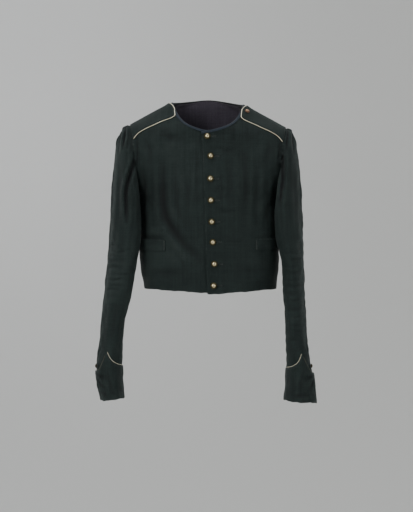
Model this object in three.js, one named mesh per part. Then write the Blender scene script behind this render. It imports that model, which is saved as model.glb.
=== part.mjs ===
// A waist-length, long-sleeved uniform jacket with no collar, filled out as it is worn.
// Sizes are millimetres. +Z is up, -Y is the front and +X is the wearer's left.
// The origin lies between the shoulders, level with the shoulder line beside the neck.
import * as THREE from 'three';

const WALL = 1.6; // broadcloth with its interlining
const SEAM_GAP = 0.4; // between two cut edges that meet at a seam
const SHARPEST = { corner: 0.6, mitre: 0.7 }; // limits how far a corner or mitre is drawn out
const SURFACE_GAP = 0.6; // under a piece that lies on a panel
const LAP_LIFT = { body: 2.8, neck: 5.8 }; // how far the upper front stands off the lower one
const LAP_NECK = { from: -112, to: -78 }; // where it rises over the neck binding
const LAP_REACH = { hem: 8, neck: 16 }; // the upper front's edge past the middle
const UNDER_REACH = 30; // the lower front's edge past the middle
const LAP_EASE = { from: 34, to: 54 }; // where the upper front comes back down to its own side
const LAP_DROP = 2.6; // its hem hangs this much lower
const SHOULDER_DROP = { depth: 7.2, from: -260, to: -110, near: 20, far: 120 }; // wearer's left
const HEM_DRIFT = { shift: 6, from: -150, over: 300, limit: 1.1 }; // hangs to the wearer's left
const PIPING_WIDTH = 2;
const CORD_SIDES = 6;
const BINDING = { height: 5.5, wall: 0.7, slack: 0.9, slackInside: 1.7 };

// Sections of one front, from the hem to the shoulder seam. inner is on the middle line, then on
// the neckline, outer on the side seam, then on the armhole, and turn is the angle between them.
const FRONT_ROWS = [
  { inner: [0, -104, -453], outer: [156.6, 24, -443], turn: 100 },
  { inner: [0, -107, -390], outer: [165.4, 25, -384], turn: 100 },
  { inner: [0, -111, -305], outer: [166.5, 22, -300], turn: 98 },
  { inner: [0, -113, -232], outer: [165.4, 12, -225], turn: 93 },
  { inner: [0, -112, -196], outer: [165, -19, -213], turn: 82 },
  { inner: [0, -107, -160], outer: [167, -40, -181.5], turn: 70 },
  { inner: [0, -98, -115], outer: [173, -48, -138], turn: 58 },
  { inner: [0, -86, -69], outer: [178, -43, -99], turn: 46 },
  { inner: [37, -80, -59], outer: [181.5, -32, -78], turn: 38 },
  { inner: [60, -64, -45], outer: [184.5, -18, -62.5], turn: 30 },
  { inner: [76, -37, -22], outer: [186.5, -3, -54], turn: 20 },
  { inner: [84.5, -5, 2], outer: [187.5, 10, -51], turn: 12 },
  { inner: [84, 26, 4], outer: [187, 24, -53.5], turn: 10 },
];
// Sections of one half of the back, in the same way.
const BACK_ROWS = [
  { inner: [0, 102, -449], outer: [156.6, 24, -443], turn: 80 },
  { inner: [0, 107, -387], outer: [165.4, 25, -384], turn: 80 },
  { inner: [0, 113, -303], outer: [166.5, 22, -300], turn: 82 },
  { inner: [0, 116, -228], outer: [165.4, 12, -225], turn: 87 },
  { inner: [0, 116, -190], outer: [166, 38, -213], turn: 78 },
  { inner: [0, 114, -148], outer: [168, 58.5, -181.5], turn: 68 },
  { inner: [0, 107, -98], outer: [172, 66, -138], turn: 56 },
  { inner: [0, 95, -42], outer: [178, 60, -98], turn: 44 },
  { inner: [0, 77, 14], outer: [183, 48, -73], turn: 32 },
  { inner: [44, 69, 9.5], outer: [185.5, 36, -60], turn: 22 },
  { inner: [70, 50, 6], outer: [186.6, 29, -55.5], turn: 14 },
  { inner: [84, 26, 4], outer: [187, 24, -53.5], turn: 10 },
];
const UNDERARM_ROW = 3;
const FRONT_NECK_ROW = 7;
const BACK_NECK_ROW = 8;
const SIDE_STEPS = [0, 0.5, 1, 1.5, 2, 2.5, 3];
const FRONT_ARMHOLE_STEPS = [
  3.8, 4.6, 5.4, 6.1, 6.6, 7, 7.3, 7.7, 8.2, 8.8, 9.4, 10, 10.5, 11, 11.5, 12,
];
const BACK_ARMHOLE_STEPS = [3.9, 4.8, 5.7, 6.6, 7.4, 8, 8.35, 8.8, 9.3, 9.8, 10.4, 11];
const PANEL_COLUMNS = 9;
const LAP_COLUMNS = 2;

// The armhole seen from the side, for the sleeve's angles: 0 at the shoulder, 90 at the front.
const ARMHOLE = { y: 10, z: -138, halfDepth: 57, halfHeight: 87 };
const FRONT_SEAM_STEP = 4.6; // the sleeve's front seam leaves the armhole at this step
const BACK_SEAM_STEP = 6.6;

// Level sections of a hanging sleeve. outer and inner are its reach from the middle line, middle
// and halfDepth its place from front to back, and lean turns its front edge towards the body.
const SLEEVES = {
  right: {
    side: -1,
    headFullness: 150,
    headRise: 0.58,
    sections: [
      { z: -300, outer: 235.4, inner: 157.5, middle: -36, halfDepth: 57, lean: 0.22 },
      { z: -335, outer: 237.4, inner: 159.5, middle: -37, halfDepth: 56, lean: 0.21 },
      { z: -360, outer: 239, inner: 163, middle: -38, halfDepth: 55, lean: 0.2 },
      { z: -400, outer: 243.3, inner: 171, middle: -41, halfDepth: 54, lean: 0.18 },
      { z: -442, outer: 246.9, inner: 176.3, middle: -44, halfDepth: 53, lean: 0.15 },
      { z: -485, outer: 250.8, inner: 187.1, middle: -48, halfDepth: 52, lean: 0.12 },
      { z: -520, outer: 254.1, inner: 198.1, middle: -52, halfDepth: 50, lean: 0.1 },
      { z: -560, outer: 257.9, inner: 200, middle: -57, halfDepth: 48, lean: 0.08 },
      { z: -600, outer: 262.1, inner: 201.5, middle: -62, halfDepth: 46, lean: 0.06 },
      { z: -635, outer: 265, inner: 204, middle: -66, halfDepth: 45, lean: 0.05 },
      { z: -672, outer: 259.8, inner: 200.6, middle: -69, halfDepth: 45, lean: 0.05 },
      { z: -712, outer: 251.5, inner: 198.9, middle: -71, halfDepth: 46, lean: 0.05 },
    ],
    end: { outer: -705.5, inner: -699 },
    cuffPoint: { angle: 66, z: -590 },
  },
  left: {
    side: 1,
    headFullness: 120,
    headRise: 0.72,
    sections: [
      { z: -300, outer: 227.2, inner: 157.5, middle: -40, halfDepth: 56, lean: 0.24 },
      { z: -335, outer: 228.2, inner: 162, middle: -40, halfDepth: 55, lean: 0.22 },
      { z: -360, outer: 228.9, inner: 171, middle: -40, halfDepth: 54, lean: 0.2 },
      { z: -400, outer: 229.9, inner: 176.8, middle: -42, halfDepth: 53, lean: 0.16 },
      { z: -442, outer: 230.5, inner: 176, middle: -45, halfDepth: 52, lean: 0.12 },
      { z: -485, outer: 231.3, inner: 180.4, middle: -48, halfDepth: 51, lean: 0.1 },
      { z: -520, outer: 233.7, inner: 181.5, middle: -52, halfDepth: 50, lean: 0.08 },
      { z: -560, outer: 235.6, inner: 183.2, middle: -57, halfDepth: 48, lean: 0.06 },
      { z: -600, outer: 238.5, inner: 183.2, middle: -62, halfDepth: 46, lean: 0.05 },
      { z: -635, outer: 247.5, inner: 185.6, middle: -66, halfDepth: 45, lean: 0.05 },
      { z: -672, outer: 252, inner: 181.9, middle: -69, halfDepth: 45, lean: 0.05 },
      { z: -712, outer: 255, inner: 180.4, middle: -71, halfDepth: 46, lean: 0.05 },
    ],
    end: { outer: -711.5, inner: -704 },
    cuffPoint: { angle: 59, z: -594 },
  },
};
// How the sleeve head leaves the armhole: its pull at the underarm, how far it spreads down the
// front and the back, and how strongly the hanging sleeve draws it straight.
const HEAD = { underPull: 66, spread: 0.3, drawDown: 1.05, look: 20 };
const HEAD_CENTRE = { x: 195, y: -38, z: -150 }; // gathers and folds are pressed towards it
const HEAD_STEPS = [0.05, 0.1, 0.17, 0.27, 0.4, 0.56, 0.77];
const SLEEVE_RINGS = 13;
const SLEEVE_SHORT = 1; // the sleeve ends this far above the edge of its cuff
const INNER_TWIST = 10; // degrees that the underarm line swings forward on its way down

// The gathers of the sleeve head: angle round the armhole, half width in degrees, depth.
const GATHERS = [
  { angle: -48, width: 8, depth: 3.5 },
  { angle: -27, width: 7, depth: 4.5 },
  { angle: -6, width: 7, depth: 5 },
  { angle: 17, width: 6.5, depth: 6 },
  { angle: 40, width: 6.5, depth: 5.5 },
  { angle: 62, width: 8, depth: 4 },
];
// Below the front of the armhole the sleeve runs forward and lies close to the body.
const HUG = { angle: 122, width: 42, outward: 1.1, forward: 0.75 };
const GATHER_RISE = 0.1; // the part of the sleeve head over which the gathers set in
const GATHER_FADE = 0.42; // and the part by which they have faded out

// The long folds of the sleeves: start and end height, start and end angle, half width, depth.
const SLEEVE_FOLDS = {
  right: [
    { top: -90, bottom: -292, from: 105, to: 74, width: 10, depth: 7 },
    { top: -355, bottom: -470, from: 120, to: 150, width: 16, depth: 3 },
    { top: -405, bottom: -445, from: 20, to: 110, width: 20, depth: 2 },
    { top: -150, bottom: -300, from: 262, to: 290, width: 12, depth: 5 },
  ],
  left: [
    { top: -90, bottom: -262, from: 96, to: 105, width: 10, depth: 6 },
    { top: -470, bottom: -500, from: 20, to: 110, width: 20, depth: 2 },
    { top: -525, bottom: -550, from: 30, to: 110, width: 20, depth: 2 },
    { top: -150, bottom: -300, from: 262, to: 286, width: 12, depth: 5 },
  ],
};
// A soft trough that hangs across the lower front towards the buttons.
const FRONT_TROUGH = {
  width: 15,
  depth: 4.5,
  line: [
    { x: -106, z: -145 },
    { x: -108, z: -225 },
    { x: -103, z: -272 },
    { x: -84, z: -297 },
    { x: -59, z: -332 },
    { x: -37, z: -353 },
    { x: -17, z: -370 },
  ],
};

// Shoulder straps, along the shoulder from their point to the armhole: the front and the back
// edge, as steps between the sections of the front.
const STRAP_WALL = 1.8;
const STRAP_EDGES = [
  { along: 0.075, front: 9.62, back: 11.1 },
  { along: 0.35, front: 9.42, back: 11.15 },
  { along: 0.66, front: 8.86, back: 11.2 },
  { along: 0.86, front: 8.3, back: 11.25 },
  { along: 0.95, front: 7.92, back: 11.28 },
  { along: 0.985, front: 7.52, back: 11.3 },
];
const STRAP_POINT = 0.06; // how far the point runs on past the corners
const STRAP_COLUMNS = 10;
const STRAP_ROWS = 6;
const STRAP_STEP_UP = { height: 1.5, from: 0.09, to: 0.17 }; // its point lies over the neck binding
const STRAP_POINT_PLACES = [-0.66, -0.33, 0, 0.33, 0.66]; // the piping's points round the end
const STRAP_PIPING = { short: 0.004, steps: 9, rings: 32, clear: 1.2 };
const STRAP_BUTTON = { along: 0.16, diameter: 12.5, height: 5.5 };

const WELT = { height: 27, wall: 1.6, columns: 9, rows: 3, end: 0.86 };
const WELTS = {
  right: { side: -1, front: -100.5, back: -163, top: -326.5, gape: 3 },
  left: { side: 1, front: 112, back: 166, top: -324, gape: 0.6 },
};

const CUFF = { wall: 1.6, gap: 0.9, height: 78, rows: 3 };
const CUFF_SLOPE = { inner: 23, outer: 12 }; // degrees over which the point falls away
// The cuff's edge dips by this much on the outer side: degrees from its point, and back up again.
const CUFF_DIP = { depth: 12, from: 2, full: 26, rise: 110, end: 160 };
const CUFF_PIPINGS = [
  { name: 'cuff_piping', from: 2, to: 205, steps: 22, spacing: 1.25, rings: 24 },
  { name: 'outer_cuff_piping', from: -5, to: -56, steps: 10, spacing: 1, rings: 14 },
];
const CUFF_DEGREE = 0.72; // the length of a degree round the cuff
const CUFF_BUTTON = { diameter: 12, height: 5.5, angle: 24, z: -624 };

// A button's section from its shank to the top of its dome, in parts of its radius and height.
const BUTTON_PROFILE = [
  [0, 0],
  [0.3, 0],
  [0.34, 0.3],
  [0.94, 0.34],
  [1, 0.48],
  [0.72, 0.83],
  [0, 1],
];
const BUTTON_SIDES = 10;

// The front buttons, from the top: places on the upper front.
const BUTTON = { diameter: 16, height: 7.5 };
const FRONT_BUTTONS = [
  { x: -1.7, z: -83 },
  { x: 5.9, z: -130 },
  { x: 5.4, z: -183.5 },
  { x: 6.6, z: -234 },
  { x: 8.5, z: -284.5 },
  { x: 11, z: -332.5 },
  { x: 14.6, z: -383.5 },
  { x: 13.2, z: -434.5 },
];

const LINING = { wall: 0.8, depth: 4.9, reach: 8 / 9, bottomRow: 2, topRow: 10.4 };

const finish = (color, roughness, metalness = 0) => ({ color, roughness, metalness });
const WOOL = finish(0x1f2624, 0.92);
const BINDING_CLOTH = finish(0x2a3438, 0.85);
const LINING_CLOTH = finish(0x27242c, 0.8);
const PIPING_CORD = finish(0xd8c47c, 0.8);
const BRASS = finish(0xb8924a, 0.35, 1);

const { degToRad, radToDeg, lerp, smoothstep } = THREE.MathUtils;
const vector = ([x, y, z]) => new THREE.Vector3(x, y, z);
const jacket = new THREE.Group();

function addPiece(name, geometry, look) {
  const mesh = new THREE.Mesh(geometry, new THREE.MeshStandardMaterial(look));
  mesh.name = name;
  jacket.add(mesh);
  return mesh;
}

function solidFrom(points, triangles) {
  const geometry = new THREE.BufferGeometry().setFromPoints(points);
  geometry.setIndex(triangles.flat());
  geometry.computeVertexNormals();
  return geometry;
}

// Curves and surfaces of the body

function edgeCurve(points) {
  return new THREE.CatmullRomCurve3(points, false, 'catmullrom', 0.5);
}

// A panel's surface: at(side, across, step) runs from its inner edge to its outer edge.
function panelSurface(rows, neckRow) {
  const inner = rows.map((row) => vector(row.inner));
  const outer = rows.map((row) => vector(row.outer));
  const side = edgeCurve(outer.slice(0, UNDERARM_ROW + 1));
  const armhole = edgeCurve(outer.slice(UNDERARM_ROW));
  const middle = edgeCurve(inner.slice(0, neckRow + 1));
  const mirrored = inner[neckRow + 1].clone().multiply(new THREE.Vector3(-1, 1, 1));
  const neck = edgeCurve([mirrored, ...inner.slice(neckRow)]);
  const neckSteps = rows.length - neckRow;
  return (across, step) => {
    const low = Math.min(Math.floor(step), rows.length - 2);
    const turn = degToRad(lerp(rows[low].turn, rows[low + 1].turn, step - low));
    const end = step <= UNDERARM_ROW
      ? side.getPoint(step / UNDERARM_ROW)
      : armhole.getPoint((step - UNDERARM_ROW) / (rows.length - 1 - UNDERARM_ROW));
    const start = step <= neckRow
      ? middle.getPoint(step / neckRow)
      : neck.getPoint((step - neckRow + 1) / neckSteps);
    const wide = Math.sin(across * turn) / Math.sin(turn);
    const deep = (1 - Math.cos(across * turn)) / (1 - Math.cos(turn));
    return new THREE.Vector3(
      lerp(start.x, end.x, wide),
      lerp(start.y, end.y, deep),
      lerp(start.z, end.z, Math.abs(wide)),
    );
  };
}

const frontHalf = panelSurface(FRONT_ROWS, FRONT_NECK_ROW);
const backHalf = panelSurface(BACK_ROWS, BACK_NECK_ROW);

function drift(z) {
  const below = THREE.MathUtils.clamp((HEM_DRIFT.from - z) / HEM_DRIFT.over, 0, HEM_DRIFT.limit);
  return HEM_DRIFT.shift * below * below;
}

function distanceToLine(x, z, line) {
  let nearest = Infinity;
  for (let i = 1; i < line.length; i++) {
    const a = new THREE.Vector2(line[i - 1].x, line[i - 1].z);
    const b = new THREE.Vector2(line[i].x, line[i].z);
    const run = b.clone().sub(a);
    const point = new THREE.Vector2(x, z);
    const part = THREE.MathUtils.clamp(point.clone().sub(a).dot(run) / run.lengthSq(), 0, 1);
    nearest = Math.min(nearest, point.distanceTo(a.addScaledVector(run, part)));
  }
  return nearest;
}

const bell = (offset, width) => Math.exp(-((offset / width) ** 2));

// The wearer's left shoulder hangs a little lower.
function settle(side, p) {
  if (side > 0) {
    const low = smoothstep(p.z, SHOULDER_DROP.from, SHOULDER_DROP.to);
    p.z -= SHOULDER_DROP.depth * low * smoothstep(p.x, SHOULDER_DROP.near, SHOULDER_DROP.far);
  }
  p.x = side * p.x + drift(p.z);
  return p;
}

function frontPoint(side, across, step) {
  const p = frontHalf(across, step);
  if (side > 0) {
    const lift = lerp(LAP_LIFT.body, LAP_LIFT.neck, smoothstep(p.z, LAP_NECK.from, LAP_NECK.to));
    p.y -= lift * (1 - smoothstep(p.x, LAP_EASE.from, LAP_EASE.to));
    p.z -= LAP_DROP * Math.max(1 - step, 0) * (1 - Math.max(across, 0));
  }
  settle(side, p);
  if (side < 0) {
    const off = distanceToLine(p.x, p.z, FRONT_TROUGH.line);
    p.y += FRONT_TROUGH.depth * bell(off, FRONT_TROUGH.width);
  }
  return p;
}

function backPoint(side, across, step) {
  return settle(side, backHalf(across, step));
}

// The outward normal of a front at a place on it.
function frontNormal(side, across, step) {
  const nudge = 0.01;
  const p = frontPoint(side, across, step);
  const alongRow = frontPoint(side, across + nudge, step).sub(p);
  const upward = frontPoint(side, across, Math.min(step + nudge, FRONT_ROWS.length - 1))
    .sub(frontPoint(side, across, step - nudge));
  return alongRow.cross(upward).multiplyScalar(side).normalize();
}

// The place on a front that shows at x and z from the front.
function placeOnFront(side, x, z) {
  const nudge = 0.005;
  const rounds = 20;
  const limit = { across: 0.95, step: FRONT_ROWS.length - 2 };
  let across = 0.4;
  let step = 2;
  for (let round = 0; round < rounds; round++) {
    const p = frontPoint(side, across, step);
    const dAcross = frontPoint(side, across + nudge, step).sub(p).divideScalar(nudge);
    const dStep = frontPoint(side, across, step + nudge).sub(p).divideScalar(nudge);
    const area = dAcross.x * dStep.z - dStep.x * dAcross.z;
    const dx = x - p.x;
    const dz = z - p.z;
    across = Math.min(across + (dx * dStep.z - dz * dStep.x) / area, limit.across);
    const next = step + (dz * dAcross.x - dx * dAcross.z) / area;
    step = THREE.MathUtils.clamp(next, 0, limit.step);
  }
  return { across, step };
}

// Cloth sheets: the outer face of each cut piece, joined with its neighbours for the normals

class Sheet {
  constructor() {
    this.points = [];
    this.faces = [];
    this.found = new Map();
  }

  static key(p) {
    return [p.x, p.y, p.z].map((value) => Math.round(value * 1000)).join(' ');
  }

  corner(p) {
    const key = Sheet.key(p);
    if (!this.found.has(key)) {
      this.found.set(key, this.points.push(p) - 1);
    }
    return this.found.get(key);
  }

  addGrid(rows, flip) {
    for (let i = 1; i < rows.length; i++) {
      for (let j = 1; j < rows[i].length; j++) {
        const a = this.corner(rows[i - 1][j - 1]);
        const b = this.corner(rows[i - 1][j]);
        const c = this.corner(rows[i][j]);
        const d = this.corner(rows[i][j - 1]);
        this.addFace(a, b, c, flip);
        this.addFace(a, c, d, flip);
      }
    }
  }

  addFace(a, b, c, flip) {
    if (a !== b && b !== c && a !== c) {
      this.faces.push(flip ? [a, c, b] : [a, b, c]);
    }
  }

  faceNormal([a, b, c]) {
    const [p, q, r] = [this.points[a], this.points[b], this.points[c]];
    return q.clone().sub(p).cross(r.clone().sub(p));
  }

  ownNormals() {
    const normals = this.points.map(() => new THREE.Vector3());
    for (const face of this.faces) {
      const normal = this.faceNormal(face);
      face.forEach((corner) => normals[corner].add(normal));
    }
    return normals.map((normal) => normal.normalize());
  }

  // The edges with cloth on one side only, each running with that cloth on its left.
  rimEdges() {
    const seen = new Map();
    for (const face of this.faces) {
      for (let i = 0; i < 3; i++) {
        const [from, to] = [face[i], face[(i + 1) % 3]];
        if (seen.has(`${to} ${from}`)) {
          seen.delete(`${to} ${from}`);
        } else {
          seen.set(`${from} ${to}`, { from, to, face });
        }
      }
    }
    return [...seen.values()];
  }
}

// Normals at every point, halfway between the pieces where two of them meet.
function joinedNormals(sheets) {
  const normals = new Map();
  for (const sheet of sheets) {
    sheet.ownNormals().forEach((normal, corner) => {
      const key = Sheet.key(sheet.points[corner]);
      normals.set(key, (normals.get(key) ?? new THREE.Vector3()).add(normal));
    });
  }
  for (const normal of normals.values()) {
    normal.normalize();
  }
  return normals;
}

// A closed wall under a sheet, drawn back from its seams and mitred where it meets its neighbours.
function wallUnder(sheet, normals, below = 0, wall = WALL) {
  const pull = sheet.points.map(() => new THREE.Vector3());
  const own = sheet.ownNormals();
  const rim = sheet.rimEdges();
  for (const { from, to, face } of rim) {
    const along = sheet.points[to].clone().sub(sheet.points[from]);
    const inward = sheet.faceNormal(face).cross(along).normalize();
    pull[from].add(inward);
    pull[to].add(inward);
  }
  const outer = [];
  const under = [];
  sheet.points.forEach((p, i) => {
    const normal = normals.get(Sheet.key(p));
    const drawn = p.clone();
    if (pull[i].lengthSq() > 0) {
      const corner = Math.max(pull[i].length() / 2, SHARPEST.corner);
      drawn.addScaledVector(pull[i].normalize(), SEAM_GAP / 2 / corner);
    }
    const mitre = Math.max(normal.dot(own[i]), SHARPEST.mitre);
    outer.push(drawn.clone().addScaledVector(normal, -below / mitre));
    under.push(drawn.clone().addScaledVector(normal, -(below + wall) / mitre));
  });
  const count = outer.length;
  const triangles = [...sheet.faces];
  for (const [a, b, c] of sheet.faces) {
    triangles.push([a + count, c + count, b + count]);
  }
  // Both pieces at a seam cut its edge on the same diagonal, so their edges stay parallel.
  for (const { from, to } of rim) {
    if (Sheet.key(sheet.points[from]) < Sheet.key(sheet.points[to])) {
      triangles.push([to, from, from + count], [to, from + count, to + count]);
    } else {
      triangles.push([to, from, to + count], [from, from + count, to + count]);
    }
  }
  return solidFrom([...outer, ...under], triangles);
}

// Rows of points of a panel between two places across it.
function panelRows(point, steps, from, to, columns) {
  return steps.map((step) => Array.from({ length: columns + 1 }, (_, column) => {
    const start = typeof from === 'function' ? from(step) : from;
    return point(lerp(start, to, column / columns), step);
  }));
}

const FRONT_STEPS = [...SIDE_STEPS, ...FRONT_ARMHOLE_STEPS];
const BACK_STEPS = [...SIDE_STEPS, ...BACK_ARMHOLE_STEPS];

// How far across, past the middle, an edge lies that reaches the given distance past it.
function acrossFor(reach, step) {
  const side = frontHalf(1, step).x;
  const low = Math.min(Math.floor(step), FRONT_ROWS.length - 2);
  const turn = degToRad(lerp(FRONT_ROWS[low].turn, FRONT_ROWS[low + 1].turn, step - low));
  return -Math.asin((reach / side) * Math.sin(turn)) / turn;
}

const lapReach = (step) => lerp(LAP_REACH.hem, LAP_REACH.neck, (step / FRONT_NECK_ROW) ** 2);
const frontEdge = {
  left: (step) => acrossFor(lapReach(step), step),
  right: (step) => acrossFor(UNDER_REACH, step),
};

function frontSheet(name, side) {
  const sheet = new Sheet();
  const point = (across, step) => frontPoint(side, across, step);
  const lapSteps = FRONT_STEPS.filter((step) => step <= FRONT_NECK_ROW);
  sheet.addGrid(panelRows(point, FRONT_STEPS, 0, 1, PANEL_COLUMNS), side < 0);
  sheet.addGrid(panelRows(point, lapSteps, frontEdge[name], 0, LAP_COLUMNS), side < 0);
  return sheet;
}

function backSheet() {
  const sheet = new Sheet();
  for (const side of [1, -1]) {
    const point = (across, step) => backPoint(side, across, step);
    sheet.addGrid(panelRows(point, BACK_STEPS, 0, 1, PANEL_COLUMNS), side > 0);
  }
  return sheet;
}

// Sleeves

// The armhole from the shoulder seam, down its front, round the underarm and up its back.
function armholeLoop(side) {
  const front = [UNDERARM_ROW, ...FRONT_ARMHOLE_STEPS].reverse();
  const back = BACK_ARMHOLE_STEPS.slice(0, -1);
  return [
    ...front.map((step) => frontPoint(side, 1, step)),
    ...back.map((step) => backPoint(side, 1, step)),
  ];
}

function angleRound(p) {
  const y = -(p.y - ARMHOLE.y) / ARMHOLE.halfDepth;
  const z = (p.z - ARMHOLE.z) / ARMHOLE.halfHeight;
  return radToDeg(Math.atan2(y, z));
}

function sectionAt(sections, z) {
  const last = sections.length - 1;
  let low = 0;
  while (low < last - 1 && sections[low + 1].z > z) {
    low += 1;
  }
  const rows = [Math.max(low - 1, 0), low, low + 1, Math.min(low + 2, last)].map((i) => sections[i]);
  const part = (z - rows[1].z) / (rows[2].z - rows[1].z);
  const blend = (name) => {
    const [a, b, c, d] = rows.map((row) => row[name]);
    const rise = (c - a) / 2;
    const fall = (d - b) / 2;
    const cubic = 2 * b - 2 * c + rise + fall;
    return b + part * (rise + part * (3 * (c - b) - 2 * rise - fall + part * cubic));
  };
  const outer = blend('outer');
  const inner = blend('inner');
  return {
    centre: (outer + inner) / 2,
    halfWidth: (outer - inner) / 2,
    middle: blend('middle'),
    halfDepth: blend('halfDepth'),
    lean: blend('lean'),
  };
}

function sleeveRingPoint(sleeve, z, angle, away = 0) {
  const section = sectionAt(sleeve.sections, z);
  const turned = degToRad(angle + INNER_TWIST * (1 - Math.cos(degToRad(angle))));
  const shift = section.lean * section.halfDepth;
  const wide = Math.sqrt(section.halfWidth ** 2 - shift ** 2) + away;
  const y = -(section.halfDepth + away) * Math.sin(turned);
  const x = section.centre + section.lean * y + wide * Math.cos(turned);
  return new THREE.Vector3(sleeve.side * x, section.middle + y, z);
}

const around = (angle, middle) => {
  const off = (((angle - middle) % 360) + 540) % 360;
  return off - 180;
};

// The folds pressed into a sleeve at a height and an angle.
function foldDepth(folds, z, angle) {
  let depth = 0;
  for (const fold of folds) {
    const part = (z - fold.top) / (fold.bottom - fold.top);
    if (part > 0 && part < 1) {
      const line = lerp(fold.from, fold.to, part);
      depth += fold.depth * Math.sin(part * Math.PI) * bell(around(angle, line), fold.width);
    }
  }
  return depth;
}

// The waves that the gathering thread leaves in the sleeve head.
function gatherDepth(angle, part) {
  const run = smoothstep(part, 0, GATHER_RISE) * (1 - smoothstep(part, GATHER_RISE, GATHER_FADE));
  return GATHERS.reduce(
    (sum, gather) => sum + gather.depth * bell(around(angle, gather.angle), gather.width) * run,
    0,
  );
}

function sleeveSurface(name) {
  const sleeve = SLEEVES[name];
  const folds = SLEEVE_FOLDS[name];
  const loop = armholeLoop(sleeve.side);
  const angles = loop.map(angleRound);
  const top = sleeve.sections[0].z;
  const rings = [loop];
  for (const part of HEAD_STEPS) {
    rings.push(loop.map((start, column) => {
      const angle = angles[column];
      const turned = degToRad(angle);
      const end = sleeveRingPoint(sleeve, top, angle);
      const next = sleeveRingPoint(sleeve, top - HEAD.look, angle);
      const chord = end.distanceTo(start);
      const down = next.sub(end).normalize().multiplyScalar(chord * HEAD.drawDown);
      const spread = lerp(HEAD.spread, sleeve.headRise, Math.max(Math.cos(turned), 0));
      const topmost = (1 + Math.cos(turned)) / 2;
      const hug = bell(around(angle, HUG.angle), HUG.width);
      const out = new THREE.Vector3(
        sleeve.side * (1 - HUG.outward * hug),
        -(spread + HUG.forward * hug) * Math.sin(turned),
        spread * Math.cos(turned),
      ).normalize().multiplyScalar(lerp(HEAD.underPull, sleeve.headFullness, topmost));
      const p = start.clone().multiplyScalar(2 * part ** 3 - 3 * part ** 2 + 1)
        .addScaledVector(out, part ** 3 - 2 * part ** 2 + part)
        .addScaledVector(end, -2 * part ** 3 + 3 * part ** 2)
        .addScaledVector(down, part ** 3 - part ** 2);
      const centre = new THREE.Vector3(
        sleeve.side * HEAD_CENTRE.x,
        lerp(ARMHOLE.y, HEAD_CENTRE.y, part),
        HEAD_CENTRE.z,
      );
      const depth = foldDepth(folds, p.z, angle) + gatherDepth(angle, part);
      return p.addScaledVector(centre.sub(p).normalize(), depth);
    }));
  }
  const bottom = sleeve.end;
  for (let ring = 0; ring <= SLEEVE_RINGS; ring++) {
    rings.push(angles.map((angle) => {
      const outward = (Math.cos(degToRad(angle)) + 1) / 2;
      const end = lerp(bottom.inner, bottom.outer, outward) + SLEEVE_SHORT;
      const z = lerp(top, end, ring / SLEEVE_RINGS);
      const section = sectionAt(sleeve.sections, z);
      const p = sleeveRingPoint(sleeve, z, angle);
      const centre = new THREE.Vector3(sleeve.side * section.centre, section.middle, p.z);
      return p.addScaledVector(centre.sub(p).normalize(), foldDepth(folds, z, angle));
    }));
  }
  return { rings, angles, frontSeam: seamColumn(FRONT_SEAM_STEP), backSeam: backSeamColumn() };
}

function seamColumn(step) {
  return [UNDERARM_ROW, ...FRONT_ARMHOLE_STEPS].reverse().indexOf(step);
}

function backSeamColumn() {
  return FRONT_ARMHOLE_STEPS.length + 1 + BACK_ARMHOLE_STEPS.indexOf(BACK_SEAM_STEP);
}

function sleeveSheets(name) {
  const { rings, frontSeam, backSeam } = sleeveSurface(name);
  const flip = SLEEVES[name].side < 0;
  const count = rings[0].length;
  const part = (from, to) => rings.map((ring) => {
    const columns = [];
    for (let column = from; column <= to; column++) {
      columns.push(ring[column % count]);
    }
    return columns;
  });
  const top = new Sheet();
  top.addGrid(part(backSeam, frontSeam + count), flip);
  const under = new Sheet();
  under.addGrid(part(frontSeam, backSeam), flip);
  return { top, under };
}

// Pieces that lie on another: a closed slab between two grids of points

function slab(outer, inner, { wrap = false, flip = false } = {}) {
  const rows = outer.length;
  const columns = outer[0].length;
  const points = [...outer.flat(), ...inner.flat()];
  const offset = rows * columns;
  const at = (row, column, face) => row * columns + (column % columns) + face * offset;
  const triangles = [];
  const quad = (a, b, c, d) => {
    const corners = flip ? [a, d, c, b] : [a, b, c, d];
    triangles.push([corners[0], corners[1], corners[2]], [corners[0], corners[2], corners[3]]);
  };
  const lastColumn = wrap ? columns : columns - 1;
  for (let i = 0; i < rows - 1; i++) {
    for (let j = 0; j < lastColumn; j++) {
      quad(at(i, j, 0), at(i, j + 1, 0), at(i + 1, j + 1, 0), at(i + 1, j, 0));
      quad(at(i, j, 1), at(i + 1, j, 1), at(i + 1, j + 1, 1), at(i, j + 1, 1));
    }
  }
  for (let j = 0; j < lastColumn; j++) {
    quad(at(0, j, 0), at(0, j, 1), at(0, j + 1, 1), at(0, j + 1, 0));
    const end = rows - 1;
    quad(at(end, j, 0), at(end, j + 1, 0), at(end, j + 1, 1), at(end, j, 1));
  }
  if (!wrap) {
    const end = columns - 1;
    for (let i = 0; i < rows - 1; i++) {
      quad(at(i, 0, 0), at(i + 1, 0, 0), at(i + 1, 0, 1), at(i, 0, 1));
      quad(at(i, end, 0), at(i, end, 1), at(i + 1, end, 1), at(i + 1, end, 0));
    }
  }
  return solidFrom(points, triangles);
}

function slabOnFront(side, places, lift, wall) {
  const grid = (height) => places.map((row) => row.map(({ across, step, raise = 0 }) => {
    const away = lift + height + raise;
    return frontPoint(side, across, step).addScaledVector(frontNormal(side, across, step), away);
  }));
  return slab(grid(wall), grid(0), { flip: side < 0 });
}

function strapEdge(along, name) {
  const rows = STRAP_EDGES;
  let low = 0;
  while (low < rows.length - 2 && rows[low + 1].along < along) {
    low += 1;
  }
  const part = (along - rows[low].along) / (rows[low + 1].along - rows[low].along);
  return lerp(rows[low][name], rows[low + 1][name], part);
}

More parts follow.
